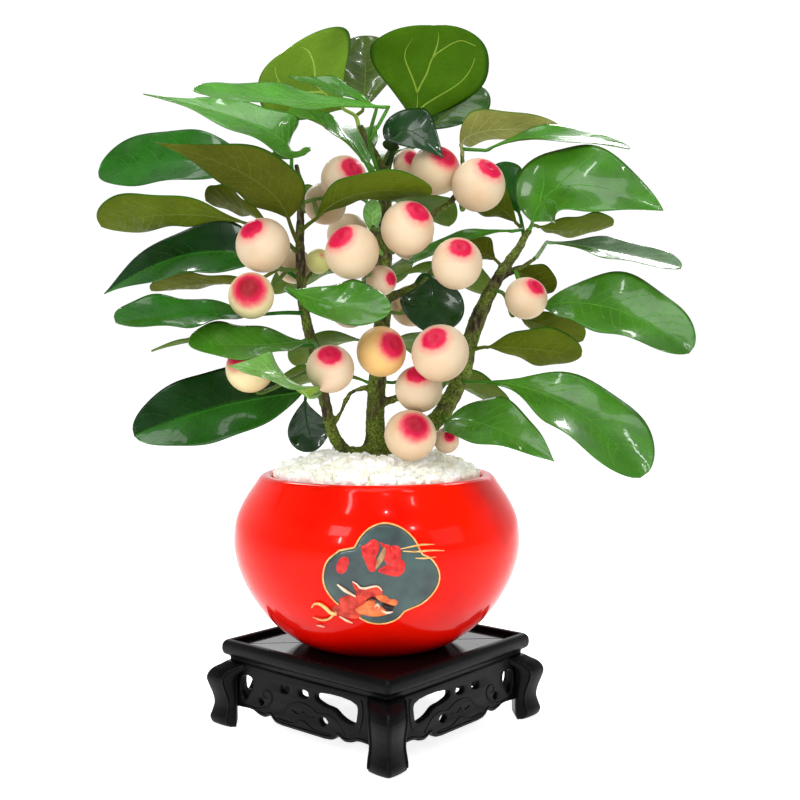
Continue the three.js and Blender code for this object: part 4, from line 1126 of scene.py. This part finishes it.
pot = {
    "sides": 144,
    "tint": (0.8, 0.02, 0.01),
    "foot": [(0.01, 58.8), (37, 58.8), (38, 58.2), (38, 56.4), (38.6, 55.8), (44.2, 55.8)],
    "flank": [
        (45, 56), (50, 57.6), (58, 61.5), (69, 69.5), (78, 78), (86, 88.5), (93, 101), (97.8, 114),
        (99.6, 123),
        (100, 131), (98, 145), (92.5, 157), (84.5, 169), (82.3, 172.3), (80.3, 174.2), (77.5, 175),
        (75.2, 174.7),
        (73.7, 173.2), (73.5, 171), (77, 168), (86, 158), (93, 143), (94.5, 130), (91, 112), (82, 93),
        (68, 77),
        (52, 66), (30, 64.2), (0.01, 64),
    ],
}
potFlank = [tuple(map(float, place)) for place in smoothPath(pot["flank"], 6)]


def makePot():
    build = newBuild()
    rings = [roundRing(radius, height, pot["sides"]) for radius, height in [*pot["foot"], *potFlank]]
    addLoft(build, rings, 0, pot["tint"])
    makePiece("glazedPot", build, [redGlaze], ["pot"], turned=False)
    print("pot turned")


makePot()

# Medallion: lines and outlines as (along, up) in mm from its middle, measured on the glaze

medallion = {
    "height": 120, "turn": -1.5, "radius": 99,
    "outline": [
        [(-17.4, 19.4), (-14, 25.6), (-7.8, 31.8), (1.6, 34.7), (11.6, 31.8), (19.4, 24.8), (23.6, 16.5)],
        [(24.8, 14.4), (30.2, 11.6), (35.7, 3.3), (36.4, -4.1), (33.3, -11.6), (27.1, -18.2), (20.2, -21.5)],
        [(15.1, -23.9), (10.9, -29.7), (4.7, -33), (-3.1, -33.8), (-10.1, -32.2), (-15.5, -28.9)],
        [(-19, -23), (-28.7, -19), (-33.3, -14), (-37.2, -6), (-37.4, 2), (-34.5, 10.5), (-27, 17.2)],
    ],
}
reliefs = {  # outline, height, material
    "redPatch": ([(-28.4, 3), (-24, 2.6), (-20.4, 8), (-20.8, 13.4), (-25, 14), (-29, 9)], 0.25, "peonyRed"),
    "petalLeftHigh": ([(-13.2, 20.6), (-10.5, 21.6), (-6.2, 24.8), (-2.4, 22.6), (-3.2, 15), (-8, 12),
        (-12.6, 15.2)], 0.8, "peonyRed"),
    "petalLeftLow": ([(-12.8, 15.7), (-10.9, 10.7), (-7.8, 4.5), (-4.6, 5), (-3.4, 11), (-6, 16)],
        0.7, "peonyRed"),
    "petalTop": ([(-2.6, 23.4), (1, 21.9), (5.4, 20.4), (6.6, 13), (3.4, 8), (0.6, 12), (0, 19)],
        0.7, "peonyRed"),
    "petalRight": ([(5, 20.3), (10.5, 19.8), (11.2, 13.2), (9.6, 7), (6, 5), (4.6, 12)], 0.85, "peonyRed"),
    "petalLow": ([(-3.1, 5), (2.3, 2.5), (9.3, 1.2), (13.2, 4.1), (13.6, 9.9), (10.6, 12.6), (6, 9),
        (0.6, 8.2)], 1.0, "peonyRed"),
    "leafWedge": ([(1.6, 20.6), (2.7, 16.5), (-2.7, 7.4), (-4.7, 5.8), (-3.5, 12.4)], 0.95, "goldShade"),
    "neck": ([(-34.6, -22.3), (-27.9, -17.4), (-20.2, -19.6), (-15, -24.8), (-16.4, -29.7), (-23.3, -30),
        (-30.5, -27.4)], 0.9, "dragonRed"),
    "mane": ([(-28.7, -15.5), (-23.3, -11.6), (-17, -11), (-18.4, -5.6), (-18.8, -1.6), (-15.5, -3.9),
        (-12.4, -6), (-7, -4.3), (-1.6, -5), (0, -8.3), (-0.8, -11.2), (-6.2, -12.6), (-10.9, -16.7),
        (-18.6, -22), (-25, -23)], 1.2, "dragonRed"),
    "cheek": ([(-12.4, -17), (-6.2, -16), (0, -20.2), (3.9, -25.2), (-3.1, -27.6), (-10, -27), (-17, -24.6),
        (-18.6, -21.5)], 1.3, "dragonOrange"),
    "snout": ([(-4.6, -10.9), (1.6, -11.2), (4.7, -13.9), (8.5, -14.4), (10.3, -16.4), (8.5, -19), (5, -18.6),
        (0.6, -16.4), (-3.4, -14.9)], 1.7, "dragonOrange"),
    "nostril": ([(7, -15.2), (8.8, -15.2), (9.2, -17), (7.4, -17.2)], 2.1, "dragonRed"),
    "mouth": ([(-0.8, -16.8), (4.7, -19), (8.2, -19.8), (7, -22), (1.2, -21.4)], 1.0, "inkDark"),
    "brow": ([(-11.4, -16), (-8, -13.9), (-4.6, -14.9), (-6.6, -18.2), (-10.4, -19.6)], 1.8, "dragonOrange"),
}
threads = {  # a line, the radii along it, material
    "goldLineHigh": ([(10.9, 18.4), (24, 20.4), (33, 20.2)], (0.3, 0.7, 0.2), "goldLine"),
    "goldLineMiddle": ([(12.4, 17), (20, 16.4), (31, 16.6), (39.5, 15.8)], (0.3, 0.7, 0.2), "goldLine"),
    "goldLineLow": ([(20.2, 12.4), (26.4, 12), (33.7, 12.4)], (0.3, 0.6, 0.2), "goldLine"),
    "crest": ([(-18.6, -1.4), (-15.8, -3.3), (-14, -5.4), (-10.9, -5.8), (-7, -4.8), (-3.1, -4.5),
        (-0.4, -7.4)], (0.3, 0.8, 0.3), "boneWhite"),
    "horn": ([(-28.3, -3.7), (-23.3, -7.8), (-17, -11.6)], (0.5, 1.1, 0.5), "boneWhite"),
    "jaw": ([(-0.6, -21.9), (3.1, -23.5), (7, -22.9)], (0.4, 0.9, 0.4), "boneWhite"),
    "browLine": ([(-10.6, -14.4), (-6.2, -12.6), (-1.6, -15.2)], (0.3, 0.6, 0.3), "inkDark"),
    "lipLine": ([(0.4, -16), (4, -17.8), (8, -19)], (0.2, 0.45, 0.2), "inkDark"),
    "whiskerHigh": ([(-31, -25), (-34.9, -24.8), (-38, -21.5), (-41.9, -18.6), (-45.7, -18.8),
        (-48.8, -21.9)], (1.5, 1.2, 0.4), "goldLine"),
    "whiskerLow": ([(-34, -26.6), (-38, -30), (-44, -31.6), (-50.4, -29.9)], (0.9, 0.8, 0.3), "goldLine"),
    "wisp": ([(-29.5, -27.2), (-24.8, -30.5), (-20.9, -32.4)], (0.5, 0.8, 0.3), "boneWhite"),
    "wispLow": ([(-50, -37.1), (-46.5, -37.2), (-43.4, -37.9)], (0.2, 0.6, 0.2), "boneWhite"),
    "wispFar": ([(-36.8, -29.6), (-40, -31.2)], (0.3, 0.3), "boneWhite"),
}
eye = {"middle": (-3.6, -19.3), "ring": (2.2, 2), "ball": (1.9, 2.3), "pupil": (0.9, 2.7)}  # radius, height
relief = {
    "ground": 0.3, "groundSoft": 0.6, "soft": 1.1, "eyeSoft": 0.5, "rim": 0.15, "under": 0.8,
    "finest": 0.7, "cells": 34, "margin": 0.45,           # of the points that fill an outline
    "edgeLine": 0.55, "edgeLift": 0.15, "sides": 8, "flowerLift": 0.2, "dragonLift": 1.3,
}


def flankLengths():
    upTo = potFlank.index(max(potFlank, key=lambda place: place[1]))
    outer = potFlank[:upTo]
    lengths = [0.0]
    for (r0, z0), (r1, z1) in zip(outer, outer[1:]):
        lengths.append(lengths[-1] + math.hypot(r1 - r0, z1 - z0))
    return *zip(*outer), lengths


flankRadii, flankHeights, flankAlong = flankLengths()
medallionAlong = np.interp(medallion["height"], flankHeights, flankAlong)


# A place on the glaze, lifted off it by lift
def onPot(along, up, lift):
    s = medallionAlong + up
    spots = (s - 0.5, s, s + 0.5)
    (lowR, radius, highR), (lowZ, height, highZ) = (
        np.interp(spots, flankAlong, values) for values in (flankRadii, flankHeights))
    slope = math.hypot(highR - lowR, highZ - lowZ)
    radius += lift * (highZ - lowZ) / slope
    height -= lift * (highR - lowR) / slope
    turn = along / medallion["radius"] + math.radians(medallion["turn"])
    return (radius * math.sin(turn), -radius * math.cos(turn), height)


def closedCurve(points, steps=6):
    path = smoothPath([*points[-2:], *points, *points[:2]], steps)
    return [tuple(map(float, place)) for place in path[2 * steps:(2 + len(points)) * steps]]


# A closed flat shape laid on the glaze: its edge lies low and its middle stands out by height
def addRelief(build, outline, height, soft, slot):
    loop = np.array(outline)
    low, high = loop.min(axis=0), loop.max(axis=0)
    spacing = max(relief["finest"], (high - low).max() / relief["cells"])
    starts, ends = loop, np.roll(loop, -1, axis=0)

    def edgeDistance(point):
        span = ends - starts
        share = np.clip(((point - starts) * span).sum(axis=1) / (span ** 2).sum(axis=1), 0, 1)
        return np.min(np.linalg.norm(starts + share[:, None] * span - point, axis=1))

    def inside(point):
        crossing = (starts[:, 1] > point[1]) != (ends[:, 1] > point[1])
        rise = np.where(crossing, ends[:, 1] - starts[:, 1], 1)
        reach = starts[:, 0] + (point[1] - starts[:, 1]) / rise * (ends[:, 0] - starts[:, 0])
        return np.count_nonzero(crossing & (point[0] < reach)) % 2 == 1

    filled = [tuple(point) for point in loop]
    for along in np.arange(low[0], high[0], spacing):
        for up in np.arange(low[1], high[1], spacing):
            point = np.array((along, up))
            if inside(point) and edgeDistance(point) > relief["margin"] * spacing:
                filled.append((along, up))
    count = len(loop)
    edges = [(order, (order + 1) % count) for order in range(count)]
    flat, _, triangles, *_ = delaunay_2d_cdt([Vector(place) for place in filled], edges, [], 1, 1e-6)
    rim = relief["rim"]
    top, under = [], []
    for place in flat:
        rise = height * (rim + (1 - rim) * (1 - math.exp(-edgeDistance(np.array(place)) / soft)))
        top.append(onPot(place[0], place[1], rise))
        under.append(onPot(place[0], place[1], -relief["under"]))
    first = addPoints(build, top)
    second = addPoints(build, under)
    sides = {}
    for one, two, three in triangles:
        area = (flat[two] - flat[one]).cross(flat[three] - flat[one])
        face = (one, two, three) if area > 0 else (one, three, two)
        build["faces"].append(tuple(first + corner for corner in face))
        build["faces"].append(tuple(second + corner for corner in face[::-1]))
        build["slots"].extend([slot, slot])
        for here, there in zip(face, face[1:] + face[:1]):
            if sides.pop((there, here), None) is None:
                sides[(here, there)] = True
    for here, there in sides:
        build["faces"].append((first + here, second + here, second + there, first + there))
        build["slots"].append(slot)


def makeMedallion():
    slots = {name: order for order, name in enumerate(enamels)}
    build = newBuild()
    outline = [tuple(place) for lobe in medallion["outline"] for place in smoothPath(lobe, 5)]
    addRelief(build, outline, relief["ground"], relief["groundSoft"], slots["slateEnamel"])
    edge = [onPot(along, up, relief["edgeLift"]) for along, up in [*outline, outline[0]]]
    addTube(build, edge, relief["edgeLine"], relief["sides"], slots["goldLine"])
    for shape, height, material in reliefs.values():
        addRelief(build, closedCurve(shape), height + relief["ground"], relief["soft"], slots[material])
    for line, radii, material in threads.values():
        path = smoothPath(line, 8)
        sizes = np.interp(np.linspace(0, 1, len(path)), np.linspace(0, 1, len(radii)), radii)
        lift = relief["flowerLift"] if line[0][0] > 0 and line[0][1] > 0 else relief["dragonLift"]
        spots = [onPot(*place, lift * min(1, 4 * size)) for place, size in zip(path, sizes)]
        addTube(build, spots, sizes, relief["sides"], slots[material])
    along, up = eye["middle"]
    for part, material in (("ring", "boneWhite"), ("ball", "dragonOrange"), ("pupil", "inkDark")):
        radius, lift = eye[part]
        turns = np.linspace(0, 2 * math.pi, 20, endpoint=False)
        disc = [(along + radius * math.cos(turn), up + radius * math.sin(turn)) for turn in turns]
        addRelief(build, disc, lift, relief["eyeSoft"], slots[material])
    makePiece("medallion", build, enamelPaints, [], turned=False)
    print("medallion laid on the pot")


makeMedallion()

# Stand: frame, panel, legs and aprons, with its corners to the front, back, left and right

stand = {
    "rounding": 3, "panelCorner": 100, "panelBottom": 51.5, "panelTop": 55.5, "seam": 0.25, "bevel": 0.5,
    "frame": [  # distance of the corner from the middle, and height
        (92, 51.2), (92, 44.3), (104, 44.3), (104.1, 46.4), (104.7, 47.7), (106, 48.3), (107.6, 48.8),
        (108.9, 49.7),
        (109.6, 50.9), (109.95, 52.4), (110, 54), (109.8, 55.4), (109.3, 56.6), (108.4, 57.7), (107.2, 58.5),
        (105.6, 58.95), (104, 59), (102.6, 58.9), (101.4, 58.3), (100.7, 57.4), (100.4, 56.2), (100.3, 54.5),
        (100.3, 51.2),
    ],
    "leg": [  # reach of the outer edge, half width, height, depth behind the width
        (112.5, 10.5, 0, 3.5), (115.5, 12, 1.5, 5), (117, 12.3, 5, 6.2), (115.5, 11.8, 9.5, 5.2),
        (114, 11, 15, 4.5),
        (115, 11, 21, 5.5), (117.5, 11.5, 27, 7.5), (119.2, 12, 33, 9), (116.5, 12, 38, 8.5),
        (109, 12, 42, 8.5),
        (105, 12, 44, 4.5),
    ],
    "legEdge": 1.2, "legBulge": 0.7, "legBead": 0.8, "legRidge": 0.25, "beadSpan": (3, 42.5), "tight": 0.3,
    "apronFace": 74, "apronThickness": 5, "apronReach": 65.5, "apronTop": 44, "apronBevel": 0.8, "bead": 0.9,
    "apronEdge": [(20, 9.2), (27, 10.3), (31, 13.4), (37, 11.4), (43, 12), (49, 14), (65.5, 13.4)],
    "apronHoles": [  # (along, up), mirrored on every second apron
        [(11, 34), (12, 37.3), (47.5, 37), (48, 30), (46, 24.5), (40, 24.5), (34, 26.2), (27, 30),
         (18, 31.2)],
        [(-50, 36), (-58.5, 36), (-60.5, 30), (-59.5, 22.5), (-56, 20), (-52, 25), (-49, 30)],
        [(-4, 33), (-4, 36.5), (4, 36.8), (4.5, 33.2)],
        [(-21, 32.2), (-20.5, 36.3), (-13, 36.6), (-13, 33)],
        [(-42.5, 21.7), (-41.2, 23.9), (-38.8, 23.9), (-37.5, 21.7), (-38.8, 19.5), (-41.2, 19.5)],
        [(14.5, 20.4), (16.8, 22.8), (20.2, 22.8), (22.5, 20.4), (20.2, 18), (16.8, 18)],
    ],
    "apronScrolls": [  # raised lines on an apron's face
        [(-46, 15.5), (-40, 16.5), (-34, 19.5), (-30, 24), (-30, 28.5), (-34, 30.5), (-38, 28.5),
         (-37.5, 25.5), (-34.5, 25)],
        [(-27, 15), (-20, 18.5), (-14, 23.5), (-8, 27), (0, 28.5), (8, 27), (14, 24.5), (22, 25.5), (29, 24),
         (34, 20), (38, 16)],
        [(-24, 13), (-10, 13), (0, 16.5), (10, 13), (24, 13)],
        [(-10, 21.5), (-4, 20), (0, 22.5), (4, 20), (10, 21.5)],
        [(52, 41), (53, 34), (52, 27), (49, 20), (43, 16.5)],
    ],
}


def squareRing(corner, height, rounding):
    middle = corner - rounding * math.sqrt(2)
    ring = []
    for quarter in range(4):
        heading = quarter * math.pi / 2
        for turn in np.linspace(heading - math.pi / 4, heading + math.pi / 4, 5):
            ring.append((middle * math.cos(heading) + rounding * math.cos(turn),
                         middle * math.sin(heading) + rounding * math.sin(turn), height))
    return ring


def turnedAbout(points, angle):
    cosine, sine = math.cos(angle), math.sin(angle)
    return [(cosine * x - sine * y, sine * x + cosine * y, z) for x, y, z in points]


def makeFrame():
    build = newBuild()
    rings = []
    for corner, height in stand["frame"]:
        rings.append(squareRing(corner, height, stand["rounding"] if corner > 103 else stand["tight"]))
    addLoft(build, rings, 0, looped=True)
    makePiece("mouldedFrame", build, [blackLacquer], ["stand_frame"], turned=False)


# A flat loop, drawn in by a distance
def insetLoop(loop, distance):
    count = len(loop)
    result = []
    for order in range(count):
        before, here, after = (np.array(loop[(order + step) % count], float) for step in (-1, 0, 1))
        one, two = unit(here - before), unit(after - here)
        inward = np.array((-one[1], one[0])) + np.array((-two[1], two[0]))
        share = max(0.4, np.dot(inward, (-one[1], one[0])))
        result.append(tuple(here + inward * distance / share))
    return result


def makePanel():
    build = newBuild()
    corner, seam, bevel, top = (stand[key] for key in ("panelCorner", "seam", "bevel", "panelTop"))
    for side in (-1, 1):
        end = side * (corner - 2 * seam)
        loop = [(-end, side * seam), (end, side * seam), (0, side * corner)]
        low = [(x, y, stand["panelBottom"]) for x, y in loop]
        high = [(x, y, top - bevel) for x, y in loop]
        edge = [(x, y, top) for x, y in insetLoop(loop, bevel)]
        addLoft(build, [low, high, edge], 0)
    makePiece("sunkPanel", build, [panelLacquer], ["stand_deck"], turned=False, smooth=False)


# The outline of a leg at one height: two faces that bulge, meeting at the corner
def legPlan(reach, half, depth):
    edge = stand["legEdge"]
    back = reach - half - depth
    face = []
    for share in (0, 0.04, 0.2, 0.4, 0.6, 0.8, 0.96, 1):
        swell = stand["legBulge"] * 4 * share * (1 - share)
        face.append((reach - half * share + 0.7 * swell, edge + (half - edge) * share + 0.7 * swell))
    ridge = (reach + stand["legRidge"], 0)
    return [(x, -y) for x, y in face[::-1]] + [ridge] + face + [(back, half), (back, -half)]


def makeLeg(name, quarter):
    build = newBuild()
    angle = quarter * math.pi / 2
    stations = smoothPath(stand["leg"], 5)
    low, high = stand["beadSpan"]
    rings, edge = [], []
    for reach, half, height, depth in stations:
        rings.append(turnedAbout([(x, y, height) for x, y in legPlan(reach, half, depth)], angle))
        if low < height < high:
            edge.append((reach - half + 0.5, half - 0.1, height))
    addLoft(build, rings, 0)
    for side in (-1, 1):
        line = [(x, side * y, z) for x, y, z in edge]
        addTube(build, turnedAbout(line, angle), stand["legBead"], 8, 0)
    makePiece("curvedLeg_" + name, build, [blackLacquer], ["stand_leg_" + name], turned=False)


# A plate with holes and rounded edges, standing in the XZ plane with its face towards -Y
def carvedPlate(outline, holes, thickness, bevel):
    curve = bpy.data.curves.new("draft", "CURVE")
    curve.dimensions = "2D"
    curve.fill_mode = "BOTH"
    curve.extrude = (thickness / 2 - bevel) * mm
    curve.bevel_depth = bevel * mm
    curve.bevel_resolution = 2
    curve.offset = -bevel * mm
    for loop in [outline, *holes]:
        spline = curve.splines.new("POLY")
        spline.points.add(len(loop) - 1)
        for point, (x, z) in zip(spline.points, loop):
            point.co = (x * mm, z * mm, 0, 1)
        spline.use_cyclic_u = True
    draft = newObject("draft", curve)
    work = bmesh.new()
    work.from_mesh(draft.evaluated_get(bpy.context.evaluated_depsgraph_get()).to_mesh())
    bmesh.ops.remove_doubles(work, verts=work.verts, dist=0.01 * mm)
    points = [(v.co.x / mm, thickness / 2 - v.co.z / mm, v.co.y / mm) for v in work.verts]
    faces = [tuple(v.index for v in f.verts) for f in work.faces]
    work.free()
    bpy.data.objects.remove(draft)
    return points, faces


def makeApron(name, quarter):
    build = newBuild()
    reach, top = stand["apronReach"], stand["apronTop"]
    angle = (quarter + 0.5) * math.pi / 2
    half = [tuple(place) for place in smoothPath(stand["apronEdge"], 5)]
    lower = [(-u, z) for u, z in half[::-1]] + half
    side = 1 if quarter % 2 else -1
    holes = [[(side * u, z) for u, z in closedCurve(hole, 5)] for hole in stand["apronHoles"]]
    outline = [(reach, top), (-reach, top), *lower]
    points, faces = carvedPlate(outline, holes, stand["apronThickness"], stand["apronBevel"])

    def placed(points):
        return turnedAbout([(x, y - stand["apronFace"], z) for x, y, z in points], angle)

    addMesh(build, placed(points), faces)
    addTube(build, placed([(u, 0.2, z + 1.9) for u, z in lower[2:-2]]), stand["bead"], 8, 0)
    for scroll in stand["apronScrolls"]:
        path = smoothPath([(side * u, 0.3, z) for u, z in scroll], 5)
        addTube(build, placed(path), np.linspace(1.1, 0.7, len(path)), 8, 0)
    makePiece("carvedApron_" + name, build, [blackLacquer], ["stand_apron_" + name], turned=False)


def makeStand():
    makeFrame()
    makePanel()
    for quarter, name in enumerate(["right", "back", "left", "front"]):
        makeLeg(name, quarter)
    for quarter, name in enumerate(["front_right", "back_right", "back_left", "front_left"]):
        makeApron(name, quarter)
    print("stand carved")


makeStand()

# Floor

floorLook = {"half": 14, "cloud": 400, "dark": (0.85, 0.85, 0.85), "light": (0.88, 0.88, 0.88), "glow": 0.8}


def makeFloor():
    paint, tree, shader = newMaterial(
        "floorPaint", (0.86, 0.86, 0.86), 0.6, Emission_Strength=floorLook["glow"], Emission_Color=(1, 1, 1))
    clouds = noiseOf(tree, floorLook["cloud"], 2)
    feed(tree, shader, Base_Color=rampOf(tree, clouds, [(0.3, floorLook["dark"]), (0.7, floorLook["light"])]))
    mesh = bpy.data.meshes.new("floor")
    half = floorLook["half"]
    corners = [(x * half, y * half, 0) for x, y in ((-1, -1), (1, -1), (1, 1), (-1, 1))]
    mesh.from_pydata(corners, [], [(0, 1, 2, 3)])
    mesh.materials.append(paint)
    floor = newObject("floor", mesh)


makeFloor()
